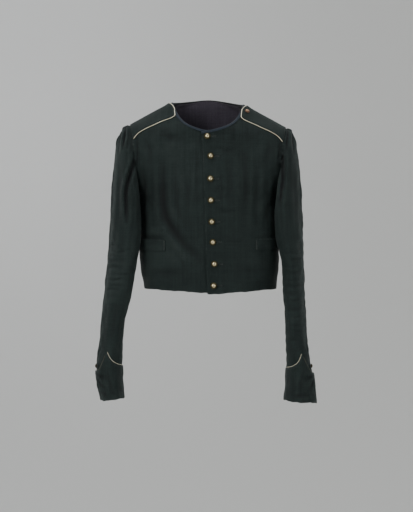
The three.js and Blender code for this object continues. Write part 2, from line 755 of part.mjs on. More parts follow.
// A place on a strap: along from its neck end to the armhole, over from its front edge (-1) to
// its back edge (1). The neck end runs out to a blunt point.
function strapPlace(along, over) {
  const start = STRAP_EDGES[0].along;
  const end = STRAP_EDGES[STRAP_EDGES.length - 1].along;
  const neckEnd = start - STRAP_POINT * (1 - Math.abs(over));
  const across = lerp(neckEnd, end, (along - start) / (end - start));
  const edgeAt = Math.max(across, start);
  return {
    across,
    step: lerp(strapEdge(edgeAt, 'front'), strapEdge(edgeAt, 'back'), (over + 1) / 2),
    raise: STRAP_STEP_UP.height * (1 - smoothstep(across, STRAP_STEP_UP.from, STRAP_STEP_UP.to)),
  };
}

function buildStrap(name, side) {
  const [start, end] = [STRAP_EDGES[0].along, STRAP_EDGES[STRAP_EDGES.length - 1].along];
  const places = [];
  for (let row = 0; row <= STRAP_ROWS; row++) {
    const over = (2 * row) / STRAP_ROWS - 1;
    const columns = [];
    for (let column = 0; column <= STRAP_COLUMNS; column++) {
      columns.push(strapPlace(lerp(start, end, column / STRAP_COLUMNS), over));
    }
    places.push(columns);
  }
  addPiece(`shoulder_strap_${name}`, slabOnFront(side, places, SURFACE_GAP, STRAP_WALL), WOOL);
}

// A round cord along a line of points.
function cordAlong(points, width, steps) {
  const section = new THREE.Shape(Array.from({ length: CORD_SIDES }, (_, i) => {
    const angle = (2 * Math.PI * i) / CORD_SIDES;
    return new THREE.Vector2((width / 2) * Math.cos(angle), (width / 2) * Math.sin(angle));
  }));
  const path = new THREE.CatmullRomCurve3(points, false, 'centripetal');
  return new THREE.ExtrudeGeometry(section, { steps, extrudePath: path, bevelEnabled: false });
}

function buildStrapPiping(name, side) {
  const end = STRAP_EDGES[STRAP_EDGES.length - 1].along - STRAP_PIPING.short;
  const start = STRAP_EDGES[0].along;
  const parts = Array.from({ length: STRAP_PIPING.steps + 1 }, (_, i) => i / STRAP_PIPING.steps);
  const edge = [
    ...parts.map((part) => [lerp(end, start, part), -1]),
    ...STRAP_POINT_PLACES.map((over) => [start, over]),
    ...parts.map((part) => [lerp(start, end, part), 1]),
  ];
  const seat = PIPING_WIDTH / 2 + SURFACE_GAP;
  const onPanel = edge.map(([along, over]) => {
    const { across, step, raise } = strapPlace(along, over);
    return {
      point: frontPoint(side, across, step),
      normal: frontNormal(side, across, step),
      raise,
    };
  });
  const middle = strapPlace(lerp(start, end, 0.5), 0);
  const centre = frontPoint(side, middle.across, middle.step);
  const points = onPanel.map(({ point, normal, raise }, i) => {
    const before = onPanel[Math.max(i - 1, 0)].point;
    const after = onPanel[Math.min(i + 1, onPanel.length - 1)].point;
    const outward = after.clone().sub(before).cross(normal).normalize();
    if (outward.dot(point.clone().sub(centre)) < 0) {
      outward.negate();
    }
    return point.clone()
      .addScaledVector(normal, seat + raise)
      .addScaledVector(outward, PIPING_WIDTH / 2 + STRAP_PIPING.clear);
  });
  addPiece(`strap_piping_${name}`, cordAlong(points, PIPING_WIDTH, STRAP_PIPING.rings), PIPING_CORD);
}

// A domed button with a turned rim and a short shank, standing along +Z.
function buttonShape(diameter, height) {
  const radius = diameter / 2;
  const profile = BUTTON_PROFILE.map(([x, y]) => new THREE.Vector2(x * radius, y * height));
  return new THREE.LatheGeometry(profile, BUTTON_SIDES).rotateX(Math.PI / 2);
}

function addButton(name, shape, seat, normal) {
  const button = addPiece(name, buttonShape(shape.diameter, shape.height), BRASS);
  button.position.copy(seat);
  button.quaternion.setFromUnitVectors(new THREE.Vector3(0, 0, 1), normal);
}

function buildFrontButtons() {
  FRONT_BUTTONS.forEach(({ x, z }, index) => {
    const { across, step } = placeOnFront(1, x, z);
    const normal = frontNormal(1, across, step);
    const seat = frontPoint(1, across, step).addScaledVector(normal, SEAM_GAP);
    addButton(`front_button_${index + 1}`, BUTTON, seat, normal);
  });
}

function buildStrapButton() {
  const { across, step, raise } = strapPlace(STRAP_BUTTON.along, 0);
  const normal = frontNormal(1, across, step);
  const lift = SURFACE_GAP + STRAP_WALL + SEAM_GAP + raise;
  const seat = frontPoint(1, across, step).addScaledVector(normal, lift);
  addButton('strap_button', STRAP_BUTTON, seat, normal);
}

function buildWelt(name) {
  const { side, front, back, top, gape } = WELTS[name];
  const start = placeOnFront(side, front, top);
  const foot = placeOnFront(side, front, top - WELT.height);
  const places = [];
  for (let row = 0; row <= WELT.rows; row++) {
    const up = row / WELT.rows;
    const columns = [];
    for (let column = 0; column <= WELT.columns; column++) {
      const part = column / WELT.columns;
      columns.push({
        across: lerp(lerp(foot.across, start.across, up), WELT.end, part),
        step: lerp(foot.step, start.step, up),
        raise: gape * up * Math.sin(part * Math.PI),
      });
    }
    places.push(columns);
  }
  addPiece(`pocket_welt_${name}`, slabOnFront(side, places, SURFACE_GAP, WELT.wall), WOOL);
}

// Cuffs: a second layer round the end of each sleeve, its upper edge drawn up to a point

function cuffTop(sleeve, angle) {
  const off = around(angle, sleeve.cuffPoint.angle);
  const base = (sleeve.end.outer + sleeve.end.inner) / 2 + CUFF.height;
  const rise = sleeve.cuffPoint.z - base;
  const dip = smoothstep(-off, CUFF_DIP.from, CUFF_DIP.full)
    * (1 - smoothstep(-off, CUFF_DIP.rise, CUFF_DIP.end));
  const width = off < 0 ? CUFF_SLOPE.outer : CUFF_SLOPE.inner;
  return base + rise * Math.exp(-Math.abs(off) / width) - CUFF_DIP.depth * dip;
}

function cuffAngles(name) {
  const { angles } = sleeveSurface(name);
  return angles.flatMap((angle, column) => {
    const next = angles[(column + 1) % angles.length];
    return [angle, angle + around(next, angle) / 2];
  });
}

// A point of the faceted sleeve, moved out: halfway columns lie on its facets.
function cuffPoint(sleeve, angles, column, z, away) {
  const count = angles.length;
  if (column % 2 === 0) {
    return sleeveRingPoint(sleeve, z, angles[column], away);
  }
  const before = sleeveRingPoint(sleeve, z, angles[column - 1], away);
  return before.lerp(sleeveRingPoint(sleeve, z, angles[(column + 1) % count], away), 0.5);
}

function buildCuff(name) {
  const sleeve = SLEEVES[name];
  const angles = cuffAngles(name);
  const grid = (away) => {
    const rows = [];
    for (let row = 0; row <= CUFF.rows; row++) {
      rows.push(angles.map((angle, column) => {
        const outward = (Math.cos(degToRad(angle)) + 1) / 2;
        const end = lerp(sleeve.end.inner, sleeve.end.outer, outward);
        const z = lerp(cuffTop(sleeve, angle), end, row / CUFF.rows);
        return cuffPoint(sleeve, angles, column, z, away);
      }));
    }
    return rows;
  };
  const flip = sleeve.side < 0;
  const geometry = slab(grid(CUFF.gap + CUFF.wall), grid(CUFF.gap), { wrap: true, flip });
  addPiece(`cuff_${name}`, geometry, WOOL);
}

function buildCuffPiping(side, { name, from, to, steps, spacing, rings }) {
  const sleeve = SLEEVES[side];
  const points = [];
  const away = 2 * SEAM_GAP + PIPING_WIDTH / 2;
  for (let i = 0; i <= steps; i++) {
    const off = lerp(from, to, (i / steps) ** spacing);
    const angle = sleeve.cuffPoint.angle + off;
    const slope = (cuffTop(sleeve, angle + 1) - cuffTop(sleeve, angle)) / CUFF_DEGREE;
    const z = cuffTop(sleeve, angle) + (PIPING_WIDTH / 2 + SEAM_GAP) * Math.hypot(1, slope);
    points.push(sleeveRingPoint(sleeve, z, angle, away));
  }
  addPiece(`${name}_${side}`, cordAlong(points, PIPING_WIDTH, rings), PIPING_CORD);
}

function buildCuffButton(name) {
  const sleeve = SLEEVES[name];
  const { angle, z } = CUFF_BUTTON;
  const seat = sleeveRingPoint(sleeve, z, angle, SEAM_GAP);
  const inside = sleeveRingPoint(sleeve, z, angle, -1);
  const normal = seat.clone().sub(inside).setY(0).normalize();
  addButton(`cuff_button_${name}`, CUFF_BUTTON, seat, normal);
}

// The lining of the back, where the open neck shows it

function liningSheet() {
  const sheet = new Sheet();
  const steps = BACK_STEPS.filter((step) => step >= LINING.bottomRow && step <= LINING.topRow);
  for (const side of [1, -1]) {
    const point = (across, step) => backPoint(side, across * LINING.reach, step);
    sheet.addGrid(panelRows(point, steps, 0, 1, PANEL_COLUMNS - 1), side > 0);
  }
  return sheet;
}

// Neck binding: a strip folded over the edge all the way round

function sweep(stations, section) {
  const points = [];
  for (const { point, normal, away } of stations) {
    for (const [out, up] of section) {
      points.push(point.clone().addScaledVector(normal, out).addScaledVector(away, up));
    }
  }
  const count = section.length;
  const triangles = [];
  for (let i = 1; i < stations.length; i++) {
    for (let j = 0; j < count; j++) {
      const next = (j + 1) % count;
      const [a, b] = [(i - 1) * count + j, (i - 1) * count + next];
      const [c, d] = [i * count + next, i * count + j];
      triangles.push([a, b, c], [a, c, d]);
    }
  }
  const outline = section.map(([x, y]) => new THREE.Vector2(x, y));
  const last = (stations.length - 1) * count;
  for (const [a, b, c] of THREE.ShapeUtils.triangulateShape(outline, [])) {
    triangles.push([a, c, b], [a + last, b + last, c + last]);
  }
  return solidFrom(points, triangles);
}

// The neck edge from the lower front round the back to the upper front.
function neckEdge() {
  const neckSteps = FRONT_STEPS.filter((step) => step > FRONT_NECK_ROW);
  const backSteps = BACK_STEPS.filter((step) => step > BACK_NECK_ROW && step < BACK_ROWS.length - 1);
  const strip = (side, edge) => (
    [1, 0.5, 0].map((part) => frontPoint(side, edge * part, FRONT_NECK_ROW))
  );
  return [
    ...strip(-1, frontEdge.right(FRONT_NECK_ROW)),
    ...neckSteps.map((step) => frontPoint(-1, 0, step)),
    ...backSteps.map((step) => backPoint(-1, 0, step)).reverse(),
    backPoint(1, 0, BACK_NECK_ROW),
    ...backSteps.map((step) => backPoint(1, 0, step)),
    ...neckSteps.map((step) => frontPoint(1, 0, step)).reverse(),
    ...strip(1, frontEdge.left(FRONT_NECK_ROW)).reverse(),
  ];
}

function bindingStations(normals) {
  const line = neckEdge();
  return line.map((point, i) => {
    const before = line[Math.max(i - 1, 0)];
    const after = line[Math.min(i + 1, line.length - 1)];
    const along = after.clone().sub(before).normalize();
    const normal = normals.get(Sheet.key(point)).clone();
    normal.addScaledVector(along, -normal.dot(along)).normalize();
    return { point, normal, away: along.cross(normal) };
  });
}

function buildBinding(normals) {
  const { height, wall, slack, slackInside } = BINDING;
  const inside = -WALL - slackInside;
  const section = [
    [inside - wall, wall + slack],
    [inside - wall, -height],
    [inside, -height],
    [inside, slack],
    [slack, slack],
    [slack, -height],
    [slack + wall, -height],
    [slack + wall, wall + slack],
  ];
  addPiece('neck_binding', sweep(bindingStations(normals), section), BINDING_CLOTH);
}

const sheets = {
  front_left: frontSheet('left', 1),
  front_right: frontSheet('right', -1),
  back: backSheet(),
};
for (const name of ['left', 'right']) {
  const { top, under } = sleeveSheets(name);
  sheets[`top_sleeve_${name}`] = top;
  sheets[`under_sleeve_${name}`] = under;
}
const seamNormals = joinedNormals(Object.values(sheets));
for (const [name, sheet] of Object.entries(sheets)) {
  addPiece(name, wallUnder(sheet, seamNormals), WOOL);
}
addPiece('back_lining', wallUnder(liningSheet(), seamNormals, LINING.depth, LINING.wall), LINING_CLOTH);
buildBinding(seamNormals);
for (const [name, side] of [['left', 1], ['right', -1]]) {
  buildStrap(name, side);
  buildStrapPiping(name, side);
  buildWelt(name);
  buildCuff(name);
  CUFF_PIPINGS.forEach((piping) => buildCuffPiping(name, piping));
  buildCuffButton(name);
}
buildFrontButtons();
buildStrapButton();

export default jacket;
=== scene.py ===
import math

import bmesh
import bpy
import numpy as np
from mathutils import Matrix, Vector
from mathutils.bvhtree import BVHTree
from mathutils.kdtree import KDTree


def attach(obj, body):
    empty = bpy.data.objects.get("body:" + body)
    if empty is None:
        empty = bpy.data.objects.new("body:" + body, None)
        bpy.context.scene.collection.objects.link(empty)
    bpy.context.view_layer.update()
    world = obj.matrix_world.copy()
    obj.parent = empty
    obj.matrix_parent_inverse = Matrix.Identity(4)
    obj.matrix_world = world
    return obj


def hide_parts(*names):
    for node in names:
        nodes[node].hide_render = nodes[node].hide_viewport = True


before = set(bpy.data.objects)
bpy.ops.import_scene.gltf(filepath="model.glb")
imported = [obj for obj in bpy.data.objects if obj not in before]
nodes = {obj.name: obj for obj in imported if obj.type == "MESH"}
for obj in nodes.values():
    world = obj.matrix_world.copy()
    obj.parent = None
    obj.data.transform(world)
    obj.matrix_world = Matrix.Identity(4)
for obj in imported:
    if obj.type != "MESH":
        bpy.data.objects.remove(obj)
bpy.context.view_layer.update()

MM = 0.001


# Camera and light

CAMERA_DISTANCE = 5.0
PICTURE_HEIGHT = 1.2288  # the picture's longer side at the jacket
PICTURE_MIDDLE = (-0.0036, -0.3648)  # x and z


def place_camera():
    data = bpy.data.cameras.new("studio_camera")
    data.sensor_width = 36
    data.lens = data.sensor_width * CAMERA_DISTANCE / PICTURE_HEIGHT
    camera = bpy.data.objects.new("studio_camera", data)
    camera.location = (PICTURE_MIDDLE[0], -CAMERA_DISTANCE, PICTURE_MIDDLE[1])
    camera.rotation_euler = (math.pi / 2, 0, 0)
    bpy.context.collection.objects.link(camera)
    bpy.context.scene.camera = camera


JACKET_MIDDLE = (0, 0, -0.35)
ROOM_COLOUR, ROOM_STRENGTH = (0.92, 0.96, 1, 1), 0.55


def area_light(name, place, size, watts):
    data = bpy.data.lights.new(name, "AREA")
    data.shape = "RECTANGLE"
    data.size, data.size_y = size
    data.energy = watts
    light = bpy.data.objects.new(name, data)
    light.location = place
    aim = Vector(JACKET_MIDDLE) - Vector(place)
    light.rotation_euler = aim.to_track_quat("-Z", "Y").to_euler()
    bpy.context.collection.objects.link(light)


def light_studio():
    area_light("key_light", (-2.3, -3.7, 0.9), (1.2, 1.8), 101)
    area_light("fill_light", (2.5, -3.4, -0.2), (1.6, 2.2), 47)
    area_light("top_light", (-0.3, -0.6, 3.6), (2.4, 2.4), 74)
    area_light("rear_left", (-3.0, 3.4, 1.6), (1.6, 2.2), 54)
    area_light("rear_right", (3.0, 3.4, 1.6), (1.6, 2.2), 52)
    world = bpy.data.worlds.new("room")
    world.use_nodes = True
    background = world.node_tree.nodes["Background"]
    background.inputs["Color"].default_value = ROOM_COLOUR
    background.inputs["Strength"].default_value = ROOM_STRENGTH
    bpy.context.scene.world = world


# Materials

class Maths:
    """A shader value that can be used in sums."""

    def __init__(self, tree, socket):
        self.tree = tree
        self.socket = socket

    def _join(self, operation, *values):
        node = self.tree.nodes.new("ShaderNodeMath")
        node.operation = operation
        for slot, value in zip(node.inputs, values):
            if isinstance(value, Maths):
                self.tree.links.new(value.socket, slot)
            else:
                slot.default_value = value
        return Maths(self.tree, node.outputs[0])

    def __add__(self, other):
        return self._join("ADD", self, other)

    def __radd__(self, other):
        return self._join("ADD", other, self)

    def __sub__(self, other):
        return self._join("SUBTRACT", self, other)

    def __rsub__(self, other):
        return self._join("SUBTRACT", other, self)

    def __mul__(self, other):
        return self._join("MULTIPLY", self, other)

    def __rmul__(self, other):
        return self._join("MULTIPLY", other, self)

    def sine(self):
        return self._join("SINE", self)

    def clamped(self):
        return self._join("MINIMUM", self._join("MAXIMUM", self, 0.0), 1.0)


class Finish:
    """One material, built node by node."""

    def __init__(self, name):
        self.material = bpy.data.materials.new(name)
        self.material.use_nodes = True
        self.tree = self.material.node_tree
        self.shader = self.tree.nodes["Principled BSDF"]

    def node(self, kind, settings=None, values=None):
        made = self.tree.nodes.new(kind)
        for name, value in (settings or {}).items():
            setattr(made, name, value)
        for name, value in (values or {}).items():
            self.put(made.inputs[name], value)
        return made

    def put(self, socket, value):
        if isinstance(value, Maths):
            self.tree.links.new(value.socket, socket)
        elif isinstance(value, bpy.types.NodeSocket):
            self.tree.links.new(value, socket)
        else:
            socket.default_value = value

    def value(self, socket):
        return Maths(self.tree, socket)

    def noise(self, vector, scale, detail=2.0, roughness=0.5):
        made = self.node("ShaderNodeTexNoise", None, {
            "Vector": vector, "Scale": scale, "Detail": detail, "Roughness": roughness})
        return self.value(made.outputs["Fac"])

    def stretched(self, vector, scale):
        made = self.node("ShaderNodeMapping", None, {"Vector": vector, "Scale": scale})
        return made.outputs[0]

    def attribute(self, name):
        made = self.node("ShaderNodeAttribute", {"attribute_name": name})
        return self.value(made.outputs["Fac"])

    def band(self, value, low, high):
        """0 below low and 1 above high, with a soft change between them."""
        made = self.node("ShaderNodeMapRange", {"interpolation_type": "SMOOTHSTEP"}, {
            "Value": value, "From Min": low, "From Max": high})
        return self.value(made.outputs["Result"])

    def blend(self, factor, first, second):
        made = self.node("ShaderNodeMix", {"data_type": "RGBA"})
        self.put(made.inputs[0], factor)
        for socket, colour in ((made.inputs[6], first), (made.inputs[7], second)):
            self.put(socket, colour if isinstance(colour, bpy.types.NodeSocket) else (*colour, 1))
        return made.outputs[2]

    def bump(self, height, depth, strength=1.0):
        made = self.node("ShaderNodeBump", None, {
            "Height": height, "Distance": depth, "Strength": strength})
        self.put(self.shader.inputs["Normal"], made.outputs["Normal"])

    def surface(self, **values):
        for name, value in values.items():
            self.put(self.shader.inputs[name.replace("_", " ")], value)


TONE_MIDDLE = 1.745  # taken off a cloth's tone, so that it is a half on average


def cloth_finish(name, dark, light, worn, weave, relief, sheen):
    """Woven cloth that lies along the piece's own cloth map, which is in metres.

    weave is the distance from thread to thread, and relief the depth of the nap.
    """
    made = Finish(name)
    where = made.node("ShaderNodeUVMap", {"uv_map": "cloth"}).outputs["UV"]
    solid = made.node("ShaderNodeTexCoord").outputs["Object"]
    split = made.node("ShaderNodeSeparateXYZ", None, {"Vector": where})
    across, along = made.value(split.outputs["X"]), made.value(split.outputs["Y"])
    turn = 2 * math.pi / weave
    threads = (across * turn).sine() * (along * (turn * 0.93)).sine() * 0.5 + 0.5
    nap = made.noise(solid, 1100, 3, 0.65)
    felt = made.noise(solid, 260, 4, 0.6)
    warp = made.noise(made.stretched(where, (230, 9, 1)), 1.0, 3, 0.6)
    weft = made.noise(made.stretched(where, (12, 300, 1)), 1.0, 3, 0.6)
    streak = made.noise(made.stretched(where, (75, 4, 1)), 1.0, 2, 0.5)
    cloud = made.noise(solid, 9, 4, 0.6)
    fleck = made.noise(made.stretched(where, (420, 380, 1)), 1.0, 2, 0.6)
    tone = (warp * 0.85 + weft * 0.65 + streak * 0.5 + fleck * 0.9 + felt * 0.5 + cloud * 1.0
            + threads * 0.1 - TONE_MIDDLE).clamped()
    rim = made.attribute("rim")
    ridge = made.attribute("ridge")
    painted_shade = made.attribute("painted_shade")
    patchy = made.band(made.noise(solid, 60, 4, 0.7), 0.36, 0.66)
    # Worn lighter at the cut edges and on the crease ridges; at the cut edges this also serves as
    # a painted highlight where the edge catches the light.
    wear_and_highlight = (rim * patchy * 0.75 + ridge * patchy * 0.2).clamped()
    body = made.blend(tone, dark, light)
    faded = made.blend((made.band(cloud, 0.5, 0.8) * 0.3).clamped(), body, worn)
    # Painted shade: the cloth is darkened towards a dark purple where the creases press deepest.
    painted_dark = (dark[0] * 0.9, dark[1] * 0.4, dark[2] * 0.55)
    shaded = made.blend((painted_shade * 0.8).clamped(), faded, painted_dark)
    made.surface(
        Base_Color=made.blend(wear_and_highlight, shaded, worn),
        Roughness=(0.84 + nap * 0.12 - wear_and_highlight * 0.08).clamped(),
        Specular_IOR_Level=0.25,
        Sheen_Weight=sheen,
        Sheen_Roughness=0.5,
        Sheen_Tint=(*[min(1.0, part * 18 + 0.25) for part in light], 1),
    )
    made.bump(threads * 0.3 + nap * 0.45 + felt * 0.5 + warp * 0.3 + weft * 0.3, relief, 0.75)
    return made.material


def tape_finish():
    """The neck tape: bluish in front and darker behind the neck."""
    made = Finish("blue-green twill tape")
    where = made.node("ShaderNodeUVMap", {"uv_map": "cloth"}).outputs["UV"]
    solid = made.node("ShaderNodeTexCoord").outputs["Object"]
    split = made.node("ShaderNodeSeparateXYZ", None, {"Vector": where})
    twill = ((made.value(split.outputs["X"]) + made.value(split.outputs["Y"]))
             * (2 * math.pi / 0.0012)).sine() * 0.5 + 0.5
    depth = made.value(made.node("ShaderNodeSeparateXYZ", None, {"Vector": solid}).outputs["Y"])
    grime = made.noise(solid, 120, 4, 0.65)
    blue = made.blend(grime, (0.006, 0.011, 0.017), (0.014, 0.022, 0.033))
    made.surface(
        Base_Color=made.blend(made.band(depth, -0.03, 0.03), blue, (0.004, 0.005, 0.006)),
        Roughness=(0.75 + grime * 0.2).clamped(),
        Specular_IOR_Level=0.25,
        Sheen_Weight=0.08,
    )
    made.bump(twill * 0.6 + grime * 0.6, 0.0004, 0.7)
    return made.material


def brass_finish(name, bright, dull):
    made = Finish(name)
    solid = made.node("ShaderNodeTexCoord").outputs["Object"]
    painted_shade = made.attribute("painted_shade")
    stain = made.band(made.noise(solid, 380, 4, 0.65), 0.42, 0.68)
    scratch = made.noise(made.stretched(solid, (2600, 2600, 300)), 1.0, 2, 0.6)
    # Random tarnished patches, plus the dark ring and middle spot that build_button paints as
    # reflection and shade.
    tarnish_and_reflection = (stain * 0.4 + painted_shade * 0.95).clamped()
    made.surface(
        Base_Color=made.blend(tarnish_and_reflection, bright, dull),
        Metallic=(1.0 - tarnish_and_reflection * 0.25).clamped(),
        Roughness=(0.22 + scratch * 0.12 + tarnish_and_reflection * 0.3).clamped(),
    )
    made.bump(made.noise(solid, 900, 3, 0.6) * 0.6 + scratch * 0.4, 0.00006, 0.5)
    return made.material


def cord_finish(name, light, dark, shadow):
    """Cloth-covered cord: pale on its crown with random soil, and painted shade where it meets the
    cloth.
    """
    made = Finish(name)
    solid = made.node("ShaderNodeTexCoord").outputs["Object"]
    fuzz = made.noise(solid, 1500, 3, 0.6)
    soil = made.band(made.noise(solid, 110, 4, 0.7), 0.42, 0.7)
    # Painted shade on the sides of the cord that face the cloth, in the shadow colour.
    low = made.attribute("painted_shade")
    crown = made.blend((soil * 0.45 + fuzz * 0.2).clamped(), light, dark)
    made.surface(
        Base_Color=made.blend(low, crown, shadow),
        Roughness=(0.7 + fuzz * 0.2).clamped(),
        Specular_IOR_Level=0.25,
        Sheen_Weight=0.1,
    )
    made.bump(fuzz, 0.00025, 0.6)
    return made.material


def thread_finish(name, colour):
    made = Finish(name)
    solid = made.node("ShaderNodeTexCoord").outputs["Object"]
    twist = made.noise(solid, 2600, 2, 0.6)
    made.surface(
        Base_Color=made.blend(twist, colour, [part * 0.6 for part in colour]),
        Roughness=0.7,
        Specular_IOR_Level=0.3,
        Sheen_Weight=0.1,
    )
    made.bump(twist, 0.0002, 0.5)
    return made.material


def paint_finish():
    """Studio paint with painted light and shade: lighter towards the key light's side, darker
    towards the bottom.
    """
    made = Finish("pale studio paint")
    solid = made.node("ShaderNodeTexCoord").outputs["Object"]
    split = made.node("ShaderNodeSeparateXYZ", None, {"Vector": solid})
    side = made.band(made.value(split.outputs["X"]), -1.1, 1.3)
    low = made.band(made.value(split.outputs["Z"]), 0.5, -1.7)
    soft = made.noise(solid, 3.0, 3, 0.5)
    # Painted light and shade across the backdrop.
    bright = made.blend(low, (0.903, 0.903, 0.898), (0.654, 0.654, 0.640))
    dim = made.blend(low, (0.682, 0.682, 0.667), (0.628, 0.628, 0.610))
    even = made.blend(side, bright, dim)
    made.surface(
        Base_Color=made.blend((soft * 0.08).clamped(), even, (0.6, 0.6, 0.59)),
        Roughness=0.9,
    )
    return made.material


# Where the cloth lies

# The line down the middle of each hanging sleeve, as rows of z, x, y and the radius round it.
SLEEVE_LINES = {
    "right": [
        (-0.04, -0.182, 0.018, 0.05), (-0.14, -0.188, 0.0, 0.055), (-0.22, -0.193, -0.022, 0.05),
        (-0.30, -0.198, -0.036, 0.046), (-0.40, -0.207, -0.041, 0.044),
        (-0.485, -0.219, -0.048, 0.041), (-0.56, -0.229, -0.057, 0.038),
        (-0.635, -0.2345, -0.066, 0.037), (-0.72, -0.225, -0.071, 0.037)],
    "left": [
        (-0.04, 0.182, 0.018, 0.05), (-0.14, 0.187, 0.0, 0.055), (-0.22, 0.190, -0.024, 0.05),
        (-0.30, 0.193, -0.040, 0.045), (-0.40, 0.2034, -0.042, 0.042),
        (-0.485, 0.206, -0.048, 0.039), (-0.56, 0.2094, -0.057, 0.037),
        (-0.635, 0.2166, -0.066, 0.037), (-0.72, 0.2177, -0.071, 0.038)],
}
ARC = 0.043  # one radian round a sleeve on its flat cloth
BODY_MIDDLE = (0.075, 0.002)  # half the length of the body's middle line, and its y


def sleeve_frame(points, side):
    """The angle round the sleeve (0 away from the body, 90 in front) and the way out of it."""
    rows = np.array(SLEEVE_LINES[side])[::-1]
    z = points[:, 2]
    middle = np.stack(
        [np.interp(z, rows[:, 0], rows[:, 1]), np.interp(z, rows[:, 0], rows[:, 2]), z], 1)
    off = points - middle
    sign = 1 if side == "left" else -1
    angle = np.degrees(np.arctan2(-off[:, 1], sign * off[:, 0]))
    return angle, off / np.maximum(np.linalg.norm(off, axis=1, keepdims=True), 1e-6)


def body_frame(points):
    """The way out of the body, level and away from a flat oval's middle line."""
    reach, depth = BODY_MIDDLE
    across = np.clip(points[:, 0], -reach, reach)
    off = np.stack([points[:, 0] - across, points[:, 1] - depth, np.zeros(len(points))], 1)
    return off / np.maximum(np.linalg.norm(off, axis=1, keepdims=True), 1e-6)


def soft_step(value, low, high):
    part = np.clip((value - low) / (high - low), 0, 1)
    return part * part * (3 - 2 * part)


def trough(places, line, width, depth, lip=0.35):
    """How deep a soft crease along a line presses each place, with a low ridge at its sides."""
    line = np.array(line)
    nearest = np.full(len(places), 1e9)
    run = np.zeros(len(places))
    steps = np.linalg.norm(np.diff(line, axis=0), axis=1)
    before = 0.0
    for start, end, step in zip(line[:-1], line[1:], steps):
        part = np.clip(((places - start) @ (end - start)) / step**2, 0, 1)
        off = np.linalg.norm(places - (start + part[:, None] * (end - start)), axis=1)
        closer = off < nearest
        nearest = np.where(closer, off, nearest)
        run = np.where(closer, (before + part * step) / steps.sum(), run)
        before += step
    taper = np.sin(np.pi * np.clip(run, 0.03, 0.97)) ** 0.6
    pressed = np.exp(-((nearest / width) ** 2))
    raised = np.exp(-(((nearest - 2.0 * width) / width) ** 2))
    return depth * taper * (pressed - lip * raised)


# Creases as (half width, depth, points), in millimetres. The body's, and those that are seen on
# the front of a sleeve, have points of x and z. A sleeve's others and the cuffs' have points of
# degrees round the sleeve and z. A depth below zero is a low ridge.
FRONT_RIGHT_CREASES = [
    (10, 4.8, [(-104, -139), (-107, -198), (-106, -245), (-100, -276), (-82, -301), (-58, -334),
               (-36, -355), (-17, -374)]),
    (8, 2.4, [(-75, -116), (-79, -186), (-74, -245), (-59, -294), (-35, -327)]),
    (7, 1.8, [(-130, -150), (-134, -200), (-131, -262), (-122, -300)]),
    (5, 2.6, [(-162, -318), (-140, -320), (-118, -321), (-102, -322)]),
    (8, 1.8, [(-152, -82), (-140, -112), (-130, -150)]),
    (6, 1.4, [(-52, -150), (-48, -210), (-50, -268), (-40, -300)]),
    (5, 1.2, [(-28, -120), (-24, -190), (-28, -250)]),
    (9, 1.5, [(-142, -398), (-105, -406), (-62, -402)]),
    (5, 1.2, [(-152, -205), (-140, -235), (-130, -255)]),
    (8, 1.6, [(-114, -72), (-86, -86), (-58, -92)]),
    (5, 1.0, [(-86, -346), (-66, -372), (-50, -404)]),
    (3.5, 3.0, [(-172, -80), (-169, -108), (-169, -128), (-170, -156)]),
    (8, 3.3, [(-156, -166), (-153, -210), (-152, -260), (-151, -318)]),
    (7, -2.6, [(-166, -170), (-165, -205), (-164, -240)]),
]
FRONT_LEFT_CREASES = [
    (9, 2.4, [(84, -112), (88, -162), (90, -222), (82, -270)]),
    (7, 1.8, [(112, -128), (116, -190), (112, -258), (118, -300)]),
    (8, 2.0, [(150, -86), (142, -118), (134, -160)]),
    (7, 1.6, [(138, -176), (144, -232), (140, -290)]),
    (6, 1.4, [(50, -130), (54, -194), (48, -262)]),
    (5, 1.2, [(28, -150), (30, -200), (27, -246)]),
    (9, 1.4, [(58, -392), (100, -400), (142, -396)]),
    (5, 1.1, [(22, -110), (42, -118), (60, -114)]),
    (5, 1.2, [(24, -258), (46, -262), (66, -256)]),
    (5, 1.1, [(24, -206), (44, -211), (60, -208)]),
    (7, 1.4, [(156, -226), (142, -254), (136, -275)]),
    (6, 1.2, [(30, -318), (58, -330), (88, -330)]),
    (4, 1.2, [(112, -318), (138, -318), (160, -318)]),
    (3.5, 3.0, [(174, -84), (171, -110), (170, -130), (171, -158)]),
    (6, 2.6, [(159, -166), (158, -210), (159, -262), (162, -316)]),
]
BACK_CREASES = [
    (9, 2.6, [(-150, -120), (-128, -160), (-118, -220), (-112, -280)]),
    (9, 2.4, [(150, -118), (130, -158), (118, -215), (116, -270)]),
    (8, 1.9, [(-60, -330), (-10, -340), (50, -332)]),
    (9, 1.9, [(-110, -375), (-50, -384), (10, -378)]),
    (7, 1.6, [(20, -392), (70, -396), (120, -388)]),
    (8, 1.7, [(-42, -60), (-36, -130), (-40, -210)]),
    (8, 1.5, [(44, -70), (40, -140), (46, -200)]),
    (10, 1.9, [(-20, -200), (0, -260), (8, -330)]),
    (6, 1.4, [(-90, -40), (-70, -56), (-44, -60)]),
    (6, 1.4, [(92, -42), (70, -58), (46, -62)]),
    (6, 1.3, [(-134, -300), (-96, -316), (-64, -318)]),
    (6, 1.2, [(80, -296), (108, -306), (138, -300)]),
]
SEEN_ON_RIGHT_SLEEVE = [
    (4.5, 9.5, [(-175, -89), (-173, -113), (-173, -134), (-180, -160), (-186, -179), (-192, -201),
                (-194, -222), (-193, -246), (-192, -284)]),
    (3.2, 4.5, [(-186, -66), (-182, -94), (-182, -124)]),
    (3.2, 6.5, [(-197, -48), (-198, -68), (-200, -84), (-203, -112)]),
    (2.8, 4.0, [(-190, -56), (-189, -82), (-189, -110)]),
    (3.2, 4.5, [(-208, -54), (-211, -89), (-213, -122)]),
    (6, 2.0, [(-207, -132), (-210, -208), (-215, -291)]),
    (5, 1.6, [(-224, -150), (-228, -220), (-230, -300)]),
    (5, 1.4, [(-198, -300), (-204, -340), (-206, -380)]),
    (6, 1.4, [(-214, -470), (-222, -520), (-228, -570)]),
    (5, 1.2, [(-238, -480), (-244, -540), (-250, -600)]),
]
